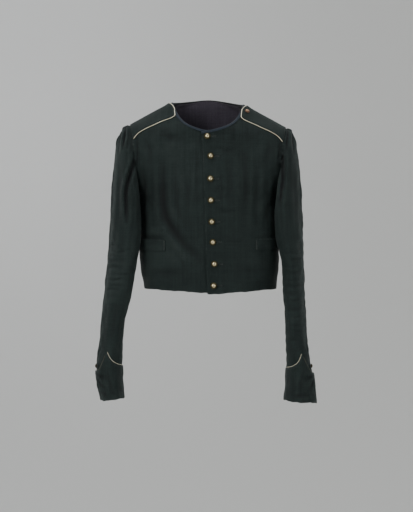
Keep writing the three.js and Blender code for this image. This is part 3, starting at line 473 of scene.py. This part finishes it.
SEEN_ON_LEFT_SLEEVE = [
    (4.5, 9.0, [(173, -92), (176, -113), (177, -151), (177, -184), (172, -217), (168, -246)]),
    (3.2, 6.0, [(193, -52), (190, -80), (187, -96), (184, -122)]),
    (2.8, 4.0, [(182, -58), (180, -89), (179, -116)]),
    (3.2, 4.2, [(204, -54), (203, -92), (204, -120)]),
    (3.0, 4.0, [(168, -72), (171, -103), (172, -130)]),
    (6, 1.8, [(202, -137), (206, -208), (208, -291)]),
    (5, 1.5, [(218, -150), (222, -230), (222, -310)]),
    (5, 1.3, [(188, -210), (190, -270), (186, -330)]),
    (6, 1.3, [(206, -470), (208, -530), (212, -590)]),
]
# The short level creases inside the elbows: z, from and to in x, drop across, depth.
RIGHT_ELBOW = [
    (-341, -236, -204, 3, 1.1), (-353, -228, -186, -2, 1.5), (-365, -238, -200, 4, 1.2),
    (-379, -232, -188, -3, 1.6), (-393, -240, -196, 2, 1.4), (-405, -226, -184, 3, 1.1),
    (-419, -240, -200, -2, 1.5), (-433, -234, -190, 2, 1.2), (-447, -244, -206, -3, 1.3),
    (-463, -236, -198, 3, 0.9), (-482, -246, -212, -2, 0.9), (-524, -250, -222, 2, 0.8),
]
LEFT_ELBOW = [
    (-360, 184, 214, 3, 1.0), (-374, 192, 226, -2, 1.4), (-388, 180, 212, 3, 1.2),
    (-402, 186, 226, -3, 1.5), (-419, 182, 218, 2, 1.3), (-435, 190, 228, -2, 1.4),
    (-452, 180, 216, 3, 1.3), (-468, 186, 228, -3, 1.5), (-487, 184, 222, 2, 1.5),
    (-506, 190, 230, -2, 1.3), (-527, 184, 220, 3, 1.4), (-548, 190, 232, -3, 1.2),
    (-566, 188, 226, 2, 0.9),
]
RIGHT_SLEEVE_CREASES = [
    (4.5, 2.8, [(20, -54), (26, -80), (30, -106)]),
    (4.0, 2.6, [(0, -54), (2, -78), (0, -102)]),
    (4.5, 2.6, [(-22, -56), (-26, -84), (-24, -112)]),
    (4.5, 2.2, [(-46, -62), (-52, -92), (-48, -122)]),
    (7, 1.8, [(10, -130), (14, -190), (10, -260), (4, -310)]),
    (6, 2.0, [(250, -330), (222, -340), (196, -332), (170, -318)]),
    (6, 1.8, [(262, -362), (232, -370), (200, -364)]),
    (6, 1.8, [(256, -392), (224, -400), (192, -390)]),
    (7, 2.4, [(284, -130), (292, -180), (284, -240), (270, -290)]),
    (7, 1.8, [(312, -150), (320, -220), (312, -290)]),
    (5, 1.3, [(330, -380), (300, -392), (276, -388)]),
    (5, 1.2, [(340, -440), (312, -452), (288, -446)]),
    (4, 1.8, [(26, -612), (38, -596), (56, -580)]),
    (4, 1.4, [(18, -606), (20, -584), (28, -562)]),
]
LEFT_SLEEVE_CREASES = [
    (4.5, 2.8, [(20, -56), (28, -84), (30, -110)]),
    (4.0, 2.6, [(0, -56), (2, -82), (0, -106)]),
    (4.5, 2.6, [(-24, -58), (-28, -88), (-24, -116)]),
    (4.5, 2.2, [(-48, -66), (-54, -94), (-48, -124)]),
    (7, 1.8, [(10, -140), (14, -200), (10, -270)]),
    (6, 2.0, [(252, -334), (226, -344), (198, -336), (172, -322)]),
    (6, 1.8, [(262, -366), (234, -374), (202, -366)]),
    (6, 1.7, [(256, -400), (226, -408), (196, -398)]),
    (7, 2.4, [(282, -134), (290, -184), (282, -244), (270, -290)]),
    (7, 1.8, [(312, -150), (322, -220), (314, -290)]),
    (5, 1.3, [(332, -392), (304, -404), (280, -398)]),
    (5, 1.2, [(338, -470), (310, -482), (286, -474)]),
    (4, 2.0, [(26, -610), (38, -592), (54, -574)]),
    (4, 1.5, [(16, -604), (18, -580), (26, -556)]),
]
RIGHT_CUFF_CREASES = [
    (3.3, 3.2, [(18, -641), (40, -645), (64, -649), (84, -648)]),
    (3.3, 3.0, [(16, -646), (38, -656), (60, -668), (72, -674)]),
    (3.3, 2.6, [(12, -650), (26, -668), (44, -686)]),
    (3.0, 2.2, [(6, -648), (8, -666), (12, -690)]),
    (3.0, 2.0, [(30, -690), (52, -684), (80, -690), (110, -686)]),
    (4, 1.1, [(84, -630), (92, -660), (96, -692)]),
    (4, 1.3, [(210, -650), (240, -664), (262, -658)]),
    (5, 1.2, [(120, -650), (150, -660), (178, -652)]),
    (5, 1.0, [(108, -676), (140, -684), (168, -680)]),
]
LEFT_CUFF_CREASES = [
    (3.3, 3.4, [(16, -644), (38, -647), (62, -652), (80, -653)]),
    (3.3, 3.2, [(14, -649), (34, -660), (54, -674), (66, -684)]),
    (3.3, 2.8, [(10, -652), (20, -672), (34, -692)]),
    (3.0, 2.2, [(4, -650), (4, -670), (8, -696)]),
    (3.0, 2.0, [(36, -696), (60, -690), (88, -694), (116, -690)]),
    (4, 1.2, [(78, -628), (88, -660), (92, -694)]),
    (4, 1.3, [(212, -652), (242, -664), (264, -660)]),
    (5, 1.2, [(118, -654), (148, -662), (176, -656)]),
    (5, 1.0, [(106, -680), (138, -690), (166, -684)]),
]


def scaled(creases):
    """The lists in millimetres, as widths, depths and points in metres."""
    return [(width * MM, depth * MM, [(x * MM, z * MM) for x, z in line])
            for width, depth, line in creases]


def elbow_creases(rows):
    """The level creases inside an elbow, of uneven width and slightly bent."""
    made = []
    for z, start, end, drop, depth in rows:
        width = 2.5 + 1.9 * abs(math.sin(z * 0.9))
        sag = 4.5 * math.sin(z * 0.37)
        line = [(start, z), (start * 0.6 + end * 0.4, z - sag), (end, z - drop)]
        made.append((width, depth, line))
    return scaled(made)


def round_creases(creases):
    """The lists of degrees and millimetres, as points on the sleeve's flat cloth."""
    return [(width * MM, depth * MM, [(math.radians(angle) * ARC, z * MM) for angle, z in line])
            for width, depth, line in creases]


def undulation(places, seed, depth):
    """Slow unevenness, as cloth has where nothing pulls it flat."""
    made = np.zeros(len(places))
    for step in range(9):
        turn = seed * 1.7 + step * 2.4
        wave = 2 * math.pi / (0.022 + 0.011 * ((step * 5 + seed) % 8))
        way = np.array([math.cos(turn), math.sin(turn)])
        made += np.sin(places @ way * wave + seed * 3.1 + step * 1.9)
    return depth * made / 3.0


def end_wander(places, seed, depth):
    """How far a lower edge rises and falls along its length."""
    along = places[:, 0]
    return depth * (np.sin(along * 95 + seed) + 0.6 * np.sin(along * 210 + seed * 2.3)
                    + 0.35 * np.sin(along * 390 + seed * 4.1))


# Cloth pieces

SAME_PLACE = 0.01 * MM  # points that are closer than this are one


def merged_copy(node):
    """A node's walls as one closed mesh of four-sided faces."""
    shape = bmesh.new()
    shape.from_mesh(nodes[node].data)
    bmesh.ops.remove_doubles(shape, verts=shape.verts, dist=SAME_PLACE)
    bmesh.ops.join_triangles(
        shape, faces=shape.faces, angle_face_threshold=math.radians(70),
        angle_shape_threshold=math.radians(90), topology_influence=2.0)
    return shape


SHORT_SIDE, STRIP_WIDTH = 1.5, 1.6  # in walls


def is_edge_face(face, wall):
    """Whether a face is part of the cut edge, between the outer and the inner side."""
    short = [edge for edge in face.edges if edge.calc_length() < wall * SHORT_SIDE]
    narrow = face.calc_area() < wall * STRIP_WIDTH * face.calc_perimeter() / 2
    return len(short) >= 2 and narrow


def finished_mesh(name, shape, levels):
    """The subdivided form of a bmesh, as a new object."""
    mesh = bpy.data.meshes.new(name)
    shape.to_mesh(mesh)
    shape.free()
    rough = bpy.data.objects.new(name + "_rough", mesh)
    bpy.context.collection.objects.link(rough)
    fine = rough.modifiers.new("rounding", "SUBSURF")
    fine.levels = fine.render_levels = levels
    bpy.context.view_layer.update()
    done = bpy.data.meshes.new_from_object(
        rough.evaluated_get(bpy.context.evaluated_depsgraph_get()))
    bpy.data.objects.remove(rough)
    bpy.data.meshes.remove(mesh)
    done.name = name
    return linked_piece(name, done)


def linked_piece(name, mesh):
    mesh.polygons.foreach_set("use_smooth", np.ones(len(mesh.polygons), dtype=bool))
    piece = bpy.data.objects.new(name, mesh)
    bpy.context.collection.objects.link(piece)
    return piece


def points_of(mesh):
    flat = np.empty(len(mesh.vertices) * 3)
    mesh.vertices.foreach_get("co", flat)
    return flat.reshape(-1, 3)


def normals_of(mesh):
    flat = np.empty(len(mesh.vertices) * 3)
    mesh.vertices.foreach_get("normal", flat)
    return flat.reshape(-1, 3)


def paint(mesh, name, values):
    layer = mesh.attributes.new(name, "FLOAT", "POINT")
    layer.data.foreach_set("value", np.asarray(values, dtype=np.float32))


def cloth_map(mesh, flat):
    """Writes each point's place on the flat cloth, in metres, as the piece's map."""
    layer = mesh.uv_layers.new(name="cloth")
    corners = np.empty(len(mesh.loops), dtype=np.int64)
    mesh.loops.foreach_get("vertex_index", corners)
    layer.data.foreach_set("uv", flat[corners].astype(np.float32).ravel())


def fit_out(piece, material, slot, *replaced):
    """Gives a piece its finish, ties it to the jacket and hides the nodes that it stands for."""
    piece.data.materials.append(material)
    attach(piece, "root")
    if replaced:
        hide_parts(*replaced)
    return piece


RIM_FIRMNESS = 0.85
CORNER_TURN = math.radians(38)


def keep_corners(shape, edge_faces):
    """Marks a cut edge and its corners, so that rounding the cloth leaves the seams closed."""
    firm = shape.edges.layers.float.new("crease_edge")
    sharp = shape.verts.layers.float.new("crease_vert")
    rim = [edge for edge in shape.edges
           if sum(face in edge_faces for face in edge.link_faces) == 1]
    onward = {}
    for edge in rim:
        edge[firm] = RIM_FIRMNESS
        for vert in edge.verts:
            onward.setdefault(vert, []).append(edge.other_vert(vert).co - vert.co)
    for vert, ways in onward.items():
        if len(ways) == 2 and ways[0].angle(-ways[1], 0) > CORNER_TURN:
            vert[sharp] = 1.0


def edge_rows(shape, ring, edge_faces):
    """The closed rows of points a little way in from the cut edge, in order."""
    ring = set(ring)
    onward = {}
    for edge in shape.edges:
        if len(edge.link_faces) == 2 and not edge_faces.intersection(edge.link_faces):
            if (edge.link_faces[0] in ring) != (edge.link_faces[1] in ring):
                for vert in edge.verts:
                    onward.setdefault(vert, []).append(edge.other_vert(vert))
    rows = []
    while onward:
        vert = next(iter(onward))
        row = []
        while vert in onward:
            row.append(vert.co.copy())
            after = [other for other in onward.pop(vert) if other in onward]
            if not after:
                break
            vert = after[0]
        rows.append(row)
    return rows


TALL_EDGE = 0.02


def tall_edges(low, high):
    """Picks the long upright edges whose middles lie between two heights."""
    def picked(edge):
        start, end = edge.verts[0].co, edge.verts[1].co
        return abs(start.z - end.z) > TALL_EDGE and low < (start.z + end.z) / 2 < high
    return picked


def edge_distance(points, places):
    """How far each point is from the nearest corner of the cut edge."""
    tree = KDTree(len(places))
    for index, place in enumerate(places):
        tree.insert(place, index)
    tree.balance()
    return np.array([tree.find(point)[2] for point in points])


def pressed_by(places, creases):
    """How deep a list of creases presses each place."""
    return sum((trough(places, line, width, depth) for width, depth, line in creases),
               np.zeros(len(places)))


BODY_ROUND = 1.15  # the body's cloth is this much wider than it looks from the front


def lay_on_body(points, creases):
    """The way out, the place on the flat cloth, the waves' place and the creases' depth."""
    level = points[:, [0, 2]]
    flat = np.stack([np.sign(points[:, 1]) * points[:, 0] * BODY_ROUND, points[:, 2]], 1)
    return body_frame(points), flat, level, pressed_by(level, creases[0])


def lay_on_sleeve(points, creases, side, under):
    """The same for a sleeve.

    Its flat cloth is opened behind. The waves of an under sleeve, and the creases that reach
    behind the arm, lie on cloth that is opened on the outer side.
    """
    seen, hidden = creases
    angle, away = sleeve_frame(points, side)
    open_behind = np.where(angle < -100, angle + 360, angle)
    open_outside = np.where(angle < 0, angle + 360, angle)
    flat = np.stack([np.radians(open_behind) * ARC, points[:, 2]], 1)
    around = np.stack([np.radians(open_outside) * ARC, points[:, 2]], 1)
    facing = soft_step(-away[:, 1], -0.15, 0.35)
    press = pressed_by(points[:, [0, 2]], seen) * facing
    for width, depth, line in hidden:
        far = max(along for along, _ in line) > math.pi * ARC
        press += trough(around if far else flat, line, width, depth)
    return away, flat, around if under else flat, press


# The cloth beside a cut edge: how far in the edge holds it still, the share of the waves and the
# creases that is left there, and the lift over the seam allowance with its place and width.
HELD_REACH = 0.010
HELD_WAVES, HELD_CREASES = 0.35, 0.1
ALLOWANCE_LIFT, ALLOWANCE_PLACE, ALLOWANCE_WIDTH = 0.5 * MM, 0.006, 0.005
FOOT_START, FOOT_END = 0.004, 0.035  # the heights between which a lower edge's wander fades out
# How far in an edge is worn and painted lighter, the height at which a crease's ridge is worn
# most, and the depth at which a crease's painted shade is full.
WORN_REACH, WORN_RIDGE, PAINTED_SHADE_DEPTH = 0.0026, 0.0012, 0.0045
CUFF_MARKS = 2.6  # the cuffs' creases are this much more worn on their ridges, and darker with painted shade in their troughs, than the others

EDGE_ROWS = {}


def build_cloth(node, wall, levels, finish, place, creases, seed, swell, rim_inset=2.2,
                split=None, wander=0.0):
    """A cloth piece: the node's form with a rounded edge, creases and a map of its weave.

    place is body, or the side of a sleeve. creases has a list for the front view and one for the
    angles round a sleeve. swell, rim_inset and wander are in millimetres: the depth of the waves,
    the width of the firm rim and the rise and fall of the lower edge. split picks the edges that
    are cut in two first, for finer creases.
    """
    material, slot = finish
    shape = merged_copy(node)
    if split:
        bmesh.ops.subdivide_edges(
            shape, edges=[edge for edge in shape.edges if split(edge)], cuts=1, use_grid_fill=True)
    edge_faces = {face for face in shape.faces if is_edge_face(face, wall)}
    sheets = [face for face in shape.faces if face not in edge_faces]
    keep_corners(shape, edge_faces)
    rim_places = [
        vert.co.copy() for vert in shape.verts
        if any(face in edge_faces for face in vert.link_faces)]
    ring = bmesh.ops.inset_region(
        shape, faces=sheets, thickness=rim_inset * MM, use_even_offset=True, use_boundary=True)
    EDGE_ROWS[node] = edge_rows(shape, ring["faces"], edge_faces)
    piece = finished_mesh(node + "_cloth", shape, levels)
    mesh = piece.data
    points = points_of(mesh)
    rim_off = edge_distance(points, rim_places)
    if place == "body":
        away, flat, across, press = lay_on_body(points, creases)
    else:
        away, flat, across, press = lay_on_sleeve(
            points, creases, place, node.startswith("under"))
    wave = undulation(across, seed, swell * MM)
    calm = 1 - np.exp(-((rim_off / HELD_REACH) ** 2))
    allowance = ALLOWANCE_LIFT * np.exp(-(((rim_off - ALLOWANCE_PLACE) / ALLOWANCE_WIDTH) ** 2))
    push = (wave * (HELD_WAVES + (1 - HELD_WAVES) * calm)
            - press * (HELD_CREASES + (1 - HELD_CREASES) * calm))
    points = points + away * (push + allowance)[:, None]
    if wander:
        foot = 1 - soft_step(points[:, 2] - points[:, 2].min(), FOOT_START, FOOT_END)
        points[:, 2] += end_wander(across, seed, wander * MM) * foot
    mesh.vertices.foreach_set("co", points.ravel())
    mesh.update()
    marks = CUFF_MARKS if node.startswith("cuff") else 1.0
    # The worn cut edge, which also serves as a painted highlight.
    paint(mesh, "rim", np.exp(-((rim_off / WORN_REACH) ** 2)))
    paint(mesh, "ridge", np.clip(-press / WORN_RIDGE, 0, 1) * marks)
    # Painted shade: the deeper a crease presses, the darker its cloth is painted.
    paint(mesh, "painted_shade", np.clip(press * marks / PAINTED_SHADE_DEPTH, 0, 1))
    cloth_map(mesh, flat)
    return fit_out(piece, material, slot, node)


WELT_SINK = 1.35 * MM


def sink_welt(piece):
    """Presses the lower and front edges of a pocket welt into the front that it is sewn to."""
    mesh = piece.data
    points = points_of(mesh)
    foot = 1 - soft_step(points[:, 2] - points[:, 2].min(), 0.001, 0.009)
    reach = np.abs(points[:, 0])
    front = 1 - soft_step(reach - reach.min(), 0.002, 0.007)
    sunk = np.maximum(foot, front)
    sewn = points - body_frame(points) * (sunk * WELT_SINK)[:, None]
    mesh.vertices.foreach_set("co", sewn.ravel())
    mesh.update()
    # The sunk edges lose their worn edge and its painted highlight.
    rim = mesh.attributes["rim"].data
    for index, part in enumerate(sunk):
        rim[index].value *= 1 - part


# How far each cord is drawn in all round, by the first word of its name, and how far it is pulled
# into the cloth.
CORD_SLIM = {"strap": 0.05 * MM, "cuff": 0.5 * MM, "outer": 0.35 * MM}
CORD_SEAT = 0.3 * MM
STRAP_OUT = (0.0, -0.45, 0.89)  # the way out of the shoulder


def build_cord(node, material):
    """Piping: a round cord where the node is, with painted shade where it lies against the cloth.
    """
    piece = finished_mesh(node + "_cord", merged_copy(node), 2)
    mesh = piece.data
    points = points_of(mesh)
    side = "left" if node.endswith("left") else "right"
    if node.startswith("strap"):
        away = np.tile(np.array(STRAP_OUT), (len(points), 1))
    else:
        away = sleeve_frame(points, side)[1]
    normals = normals_of(mesh)
    facing = (normals * away).sum(1)
    slim = points - normals * CORD_SLIM[node.split("_")[0]] - away * CORD_SEAT
    mesh.vertices.foreach_set("co", slim.ravel())
    mesh.update()
    # Painted shade where the cord faces the cloth.
    paint(mesh, "painted_shade", 1 - soft_step(facing, 0.0, 0.6))
    return fit_out(piece, material, "piping", node)


# Buttons

# A button's half section, from its shank to its crown: shares of its radius and height.
BUTTON_SECTION = [
    (0.0, 0.0), (0.12, 0.0), (0.14, 0.28), (0.30, 0.30), (0.86, 0.31), (0.97, 0.33),
    (1.0, 0.38), (0.985, 0.43), (0.93, 0.455), (0.875, 0.43), (0.84, 0.46), (0.80, 0.56),
    (0.72, 0.69), (0.60, 0.81), (0.45, 0.905), (0.28, 0.97), (0.12, 0.995), (0.0, 1.0),
]


def button_seat(node, hint):
    """The middle of a button's seat, the way it faces and how high it stands."""
    points = points_of(nodes[node].data)
    middle = points.mean(0)
    spread = np.linalg.svd(points - middle, full_matrices=False)[2]
    axis = spread[2] if spread[2] @ np.array(hint) > 0 else -spread[2]
    along = (points - middle) @ axis
    low = points[along < along.min() + 0.0002].mean(0)
    return Vector(low), Vector(axis), float(along.max() - along.min())


BUTTON_SIDES = 40
RIM_SHADE = (0.42, 0.74)  # where the dark ring of painted reflection and shade, tarnished at the rim, begins and is full, in radii
CROWN_SHADE, CROWN_SHADE_AMOUNT = (0.06, 0.24), 0.55  # the dark spot painted in the middle of the crown as a reflection, and how dark it is


def build_button(node, hint, radius, material):
    """A domed button with a turned rim, on the seat of its node."""
    seat, axis, height = button_seat(node, hint)
    shape = bmesh.new()
    line = [shape.verts.new((part * radius, 0, up * height)) for part, up in BUTTON_SECTION]
    edges = [shape.edges.new(pair) for pair in zip(line, line[1:])]
    bmesh.ops.spin(
        shape, geom=line + edges, cent=(0, 0, 0), axis=(0, 0, 1), angle=2 * math.pi,
        steps=BUTTON_SIDES, use_merge=True)
    bmesh.ops.remove_doubles(shape, verts=shape.verts, dist=0.005 * MM)
    bmesh.ops.recalc_face_normals(shape, faces=shape.faces)
    reach = np.array([math.hypot(vert.co.x, vert.co.y) / radius for vert in shape.verts])
    turn = axis.to_track_quat("Z", "Y").to_matrix().to_4x4()
    bmesh.ops.transform(shape, matrix=Matrix.Translation(seat) @ turn, verts=shape.verts)
    mesh = bpy.data.meshes.new(node + "_metal")
    shape.to_mesh(mesh)
    shape.free()
    # Painted reflection and shade: a dark ring on the dome's sides and rim, and a dark spot in the
    # middle of the crown.
    crown_shade = CROWN_SHADE_AMOUNT * (1 - soft_step(reach, *CROWN_SHADE))
    paint(mesh, "painted_shade", np.maximum(soft_step(reach, *RIM_SHADE), crown_shade))
    fit_out(linked_piece(node + "_metal", mesh), material, "brass", node)


# Sewing

STITCH_SIDES, STITCH_RINGS = 6, 4


def add_stitch(shape, place, along, out, length, thick):
    """One stitch: a short thread that dips into the cloth at both ends."""
    across = out.cross(along).normalized()
    along = across.cross(out).normalized()
    made = bmesh.ops.create_uvsphere(
        shape, u_segments=STITCH_SIDES, v_segments=STITCH_RINGS, radius=0.5)
    turn = Matrix((along, across, out)).transposed().to_4x4()
    size = Matrix.Diagonal((length, thick, thick, 1))
    lay = Matrix.Rotation(math.pi / 2, 4, "Y")
    bmesh.ops.transform(
        shape, matrix=Matrix.Translation(place) @ turn @ size @ lay, verts=made["verts"])


def surface_tree(piece):
    """A cloth piece's faces, ready to be searched for the place of a stitch."""
    mesh = piece.data
    return BVHTree.FromPolygons(
        [vert.co for vert in mesh.vertices], [tuple(face.vertices) for face in mesh.polygons])


def sewn_piece(name, shape, material):
    mesh = bpy.data.meshes.new(name)
    shape.to_mesh(mesh)
    shape.free()
    return fit_out(linked_piece(name, mesh), material, "wool")


# Prick stitches: from one to the next, their length and their thickness.
FINE_STITCH, HEM_STITCH = (0.0034, 0.0017, 0.0006), (0.0036, 0.0018, 0.0006)
ROW_BREAK = 0.08  # a longer step is not part of a row of stitches


def sew_edge(piece, node, name, material, keep, stitch):
    """Prick stitches along the edge of a cloth piece, on its outer side, where keep says so."""
    spacing, length, thick = stitch
    tree = surface_tree(piece)
    middle = points_of(piece.data).mean(0)
    shape = bmesh.new()
    for row in EDGE_ROWS[node]:
        run = 0.0
        for start, end in zip(row, row[1:] + row[:1]):
            span = (end - start).length
            if span > ROW_BREAK:
                run = 0.0
                continue
            while run < span:
                place = start.lerp(end, run / span)
                run += spacing
                near, out, _, _ = tree.find_nearest(place)
                if keep(near, out, middle):
                    add_stitch(
                        shape, near + out * (thick * 0.12), end - start, out, length, thick)
            run -= span
    return sewn_piece(name, shape, material)


FRONT_START = -0.4  # in front of all the cloth


def front_stitch(shape, tree, x, z, along, length, thick):
    """A stitch on the first cloth that is met from the front at x and z."""
    place, out, _, _ = tree.ray_cast(Vector((x, FRONT_START, z)), Vector((0, 1, 0)))
    if place:
        add_stitch(shape, place + out * (thick * 0.25), Vector(along), out, length, thick)


# A buttonhole: how far it starts before the button's middle, its length, the spacing, length and
# thickness of its stitches, half the distance of its rows, and the bar at its end.
HOLE_START, HOLE_LENGTH, HOLE_HALF = 0.003, 0.022, 0.0011
HOLE_SPACING, HOLE_STITCH, HOLE_THREAD_WIDTH = 0.0008, 0.0019, 0.0007
HOLE_BAR_PLACE, HOLE_BAR_STITCH = 0.0008, 0.0022
HAND_WANDER = 0.0004


def sew_buttonhole(tree, number, material):
    """A worked slit under a button: two rows of close upright stitches and a bar at its end."""
    seat, _, _ = button_seat(f"front_button_{number}", (0, -1, 0))
    start = seat.x - HOLE_START
    shape = bmesh.new()
    for step in range(int(HOLE_LENGTH / HOLE_SPACING) + 1):
        x = start + step * HOLE_SPACING
        for row in (-1, 1):
            z = seat.z + row * HOLE_HALF - HAND_WANDER * math.sin(step * 1.7 + number)
            front_stitch(shape, tree, x, z, (0, 0, 1), HOLE_STITCH, HOLE_THREAD_WIDTH)
    for row in (-2, -1, 0, 1, 2):
        x = start + HOLE_LENGTH + HOLE_BAR_PLACE
        z = seat.z + row * HOLE_THREAD_WIDTH
        front_stitch(shape, tree, x, z, (1, 0, 0), HOLE_BAR_STITCH, HOLE_THREAD_WIDTH)
    sewn_piece(f"buttonhole_{number}", shape, material)


BAR_SPACING, BAR_STITCH, BAR_THREAD_WIDTH = 0.0011, 0.0036, 0.0008


def sew_bar(tree, name, x, bottom, top, material):
    """A worked bar down the front end of a pocket welt."""
    shape = bmesh.new()
    count = int((top - bottom) / BAR_SPACING)
    for step in range(count + 1):
        z = bottom + (top - bottom) * step / count
        near = x + 0.0003 * math.sin(step * 2.3)
        front_stitch(shape, tree, near, z, (1, 0, 0), BAR_STITCH, BAR_THREAD_WIDTH)
    sewn_piece(name, shape, material)


# Studio

STUDIO_FLOOR, COVE_START, COVE_RADIUS = -1.9, 4.6, 2.0
WALL_RINGS = (2.5, 5.5)


def build_studio():
    """A pale round studio: floor, cove and wall in one sweep."""
    shape = bmesh.new()
    section = [(0, STUDIO_FLOOR), (COVE_START, STUDIO_FLOOR)]
    for angle in np.linspace(0.15, 1.571, 9):
        rise = COVE_RADIUS * (1 - math.cos(angle))
        section.append((COVE_START + COVE_RADIUS * math.sin(angle), STUDIO_FLOOR + rise))
    section += [(COVE_START + COVE_RADIUS, height) for height in WALL_RINGS]
    line = [shape.verts.new((reach, 0, z)) for reach, z in section]
    edges = [shape.edges.new(pair) for pair in zip(line, line[1:])]
    bmesh.ops.spin(
        shape, geom=line + edges, cent=(0, 0, 0), axis=(0, 0, 1), angle=2 * math.pi, steps=72,
        use_merge=True)
    bmesh.ops.remove_doubles(shape, verts=shape.verts, dist=0.0001)
    bmesh.ops.recalc_face_normals(shape, faces=shape.faces)
    bmesh.ops.reverse_faces(shape, faces=shape.faces)
    mesh = bpy.data.meshes.new("studio_sweep")
    shape.to_mesh(mesh)
    shape.free()
    mesh.materials.append(paint_finish())
    linked_piece("studio_sweep", mesh)


# The jacket

place_camera()
light_studio()
build_studio()

WOOL = (cloth_finish(
    "dark green broadcloth", (0.0022, 0.0050, 0.0046), (0.0122, 0.0200, 0.0184),
    (0.026, 0.035, 0.032), 0.0011, 0.0005, 0.04), "wool")
LINEN = (cloth_finish(
    "dark aubergine linen", (0.023, 0.0195, 0.0275), (0.050, 0.0435, 0.057), (0.07, 0.06, 0.07),
    0.0009, 0.0003, 0.08), "lining")
TAPE = (tape_finish(), "binding")
CORD = cord_finish(
    "pale yellow piping", (0.86, 0.83, 0.66), (0.56, 0.50, 0.33), (0.070, 0.052, 0.010))
# A darker copy of the pale piping, painted shade for the piping on the cuffs' outer sides.
SHADED_CORD = cord_finish(
    "soiled piping", (0.085, 0.08, 0.055), (0.04, 0.038, 0.025), (0.015, 0.014, 0.007))
BRASS = brass_finish("gilt brass", (0.50, 0.43, 0.27), (0.036, 0.030, 0.009))
DARK_BRASS = brass_finish("darkened brass", (0.13, 0.10, 0.045), (0.03, 0.025, 0.01))
COPPER = brass_finish("reddish brass", (0.42, 0.27, 0.18), (0.12, 0.065, 0.04))
THREAD = thread_finish("dark green thread", (0.014, 0.020, 0.018))
HOLE_THREAD = thread_finish("dull green thread", (0.019, 0.025, 0.022))

WALL = 1.6 * MM
right_front = build_cloth(
    "front_right", WALL, 3, WOOL, "body", (scaled(FRONT_RIGHT_CREASES), []), 1, 0.7, wander=0.5)
left_front = build_cloth(
    "front_left", WALL, 3, WOOL, "body", (scaled(FRONT_LEFT_CREASES), []), 2, 0.7, wander=0.5)
back = build_cloth(
    "back", WALL, 3, WOOL, "body", (scaled(BACK_CREASES), []), 3, 0.9, wander=0.6)

NO_CREASES = ([], [])
ELBOWS = {"right": (-0.51, -0.335), "left": (-0.53, -0.355)}  # heights
WELT_BARS = {"right": -0.1035, "left": 0.1145}  # x
SLEEVES = {
    "right": (SEEN_ON_RIGHT_SLEEVE, RIGHT_ELBOW, RIGHT_SLEEVE_CREASES, RIGHT_CUFF_CREASES, 4),
    "left": (SEEN_ON_LEFT_SLEEVE, LEFT_ELBOW, LEFT_SLEEVE_CREASES, LEFT_CUFF_CREASES, 8),
}
for side, (seen, elbow, hidden, cuff_creases, seed) in SLEEVES.items():
    creases = (scaled(seen) + elbow_creases(elbow), round_creases(hidden))
    top = build_cloth("top_sleeve_" + side, WALL, 3, WOOL, side, creases, seed, 0.95,
                      split=tall_edges(*ELBOWS[side]))
    under = build_cloth("under_sleeve_" + side, WALL, 3, WOOL, side, creases, seed, 0.95)
    cuff = build_cloth("cuff_" + side, WALL, 2, WOOL, side, ([], round_creases(cuff_creases)),
                       seed + 2, 0.85, 1.5, wander=0.8)
    strap = build_cloth("shoulder_strap_" + side, 1.8 * MM, 2, WOOL, "body", NO_CREASES,
                        seed + 1, 0.2, 1.2)
    welt = build_cloth("pocket_welt_" + side, WALL, 2, WOOL, "body", NO_CREASES,
                       seed + 3, 0.3, 1.2)
    sink_welt(welt)
    "front_" + side
    0.101 if side == "left" else 0.105
    "top_sleeve_" + side
    0.055 if side == "left" else 0.0595
    "top_sleeve_" + side
    "front_" + side
    0.101 if side == "left" else 0.107
    "front_" + side
    build_cord("strap_piping_" + side, CORD)
    build_cord("cuff_piping_" + side, CORD)
    build_cord("outer_cuff_piping_" + side, SHADED_CORD)

    sew_edge(strap, "shoulder_strap_" + side, f"strap_{side}_stitches", THREAD,
             lambda near, out, middle: out.z > 0.3, FINE_STITCH)
    sew_edge(cuff, "cuff_" + side, f"cuff_{side}_stitches", THREAD,
             lambda near, out, middle: (near - Vector(middle)).dot(out) > 0, HEM_STITCH)
    sew_edge(welt, "pocket_welt_" + side, f"welt_{side}_stitches", THREAD,
             lambda near, out, middle: out.y < -0.2 and near.z > -0.34, FINE_STITCH)
    sew_bar(surface_tree(welt), f"welt_{side}_bar", WELT_BARS[side], -0.3515, -0.3290,
            HOLE_THREAD)

lining = build_cloth("back_lining", 0.8 * MM, 2, LINEN, "body", NO_CREASES, 6, 0.6, 1.2)
binding = build_cloth("neck_binding", 0.7 * MM, 2, TAPE, "body", NO_CREASES, 7, 0.0, 0.3)

sew_edge(left_front, "front_left", "lap_stitches", THREAD,
         lambda near, out, middle: out.y < -0.3 and (near.x < 0.03 or near.z < -0.40), HEM_STITCH)
sew_edge(right_front, "front_right", "right_hem_stitches", THREAD,
         lambda near, out, middle: out.y < -0.2 and near.z < -0.40, HEM_STITCH)
sew_edge(back, "back", "back_hem_stitches", THREAD,
         lambda near, out, middle: out.y > 0.2 and near.z < -0.38, HEM_STITCH)

FRONT_BUTTON, STRAP_BUTTON, CUFF_BUTTON = 7.7 * MM, 6.1 * MM, 6 * MM  # radii
lap_tree = surface_tree(left_front)
for number in range(1, 9):
    sew_buttonhole(lap_tree, number, HOLE_THREAD)
    build_button(f"front_button_{number}", (0, -1, 0), FRONT_BUTTON, BRASS)
build_button("strap_button", (0, 0, 1), STRAP_BUTTON, COPPER)
build_button("cuff_button_right", (-1, 0, 0), CUFF_BUTTON, DARK_BRASS)
build_button("cuff_button_left", (1, 0, 0), CUFF_BUTTON, DARK_BRASS)
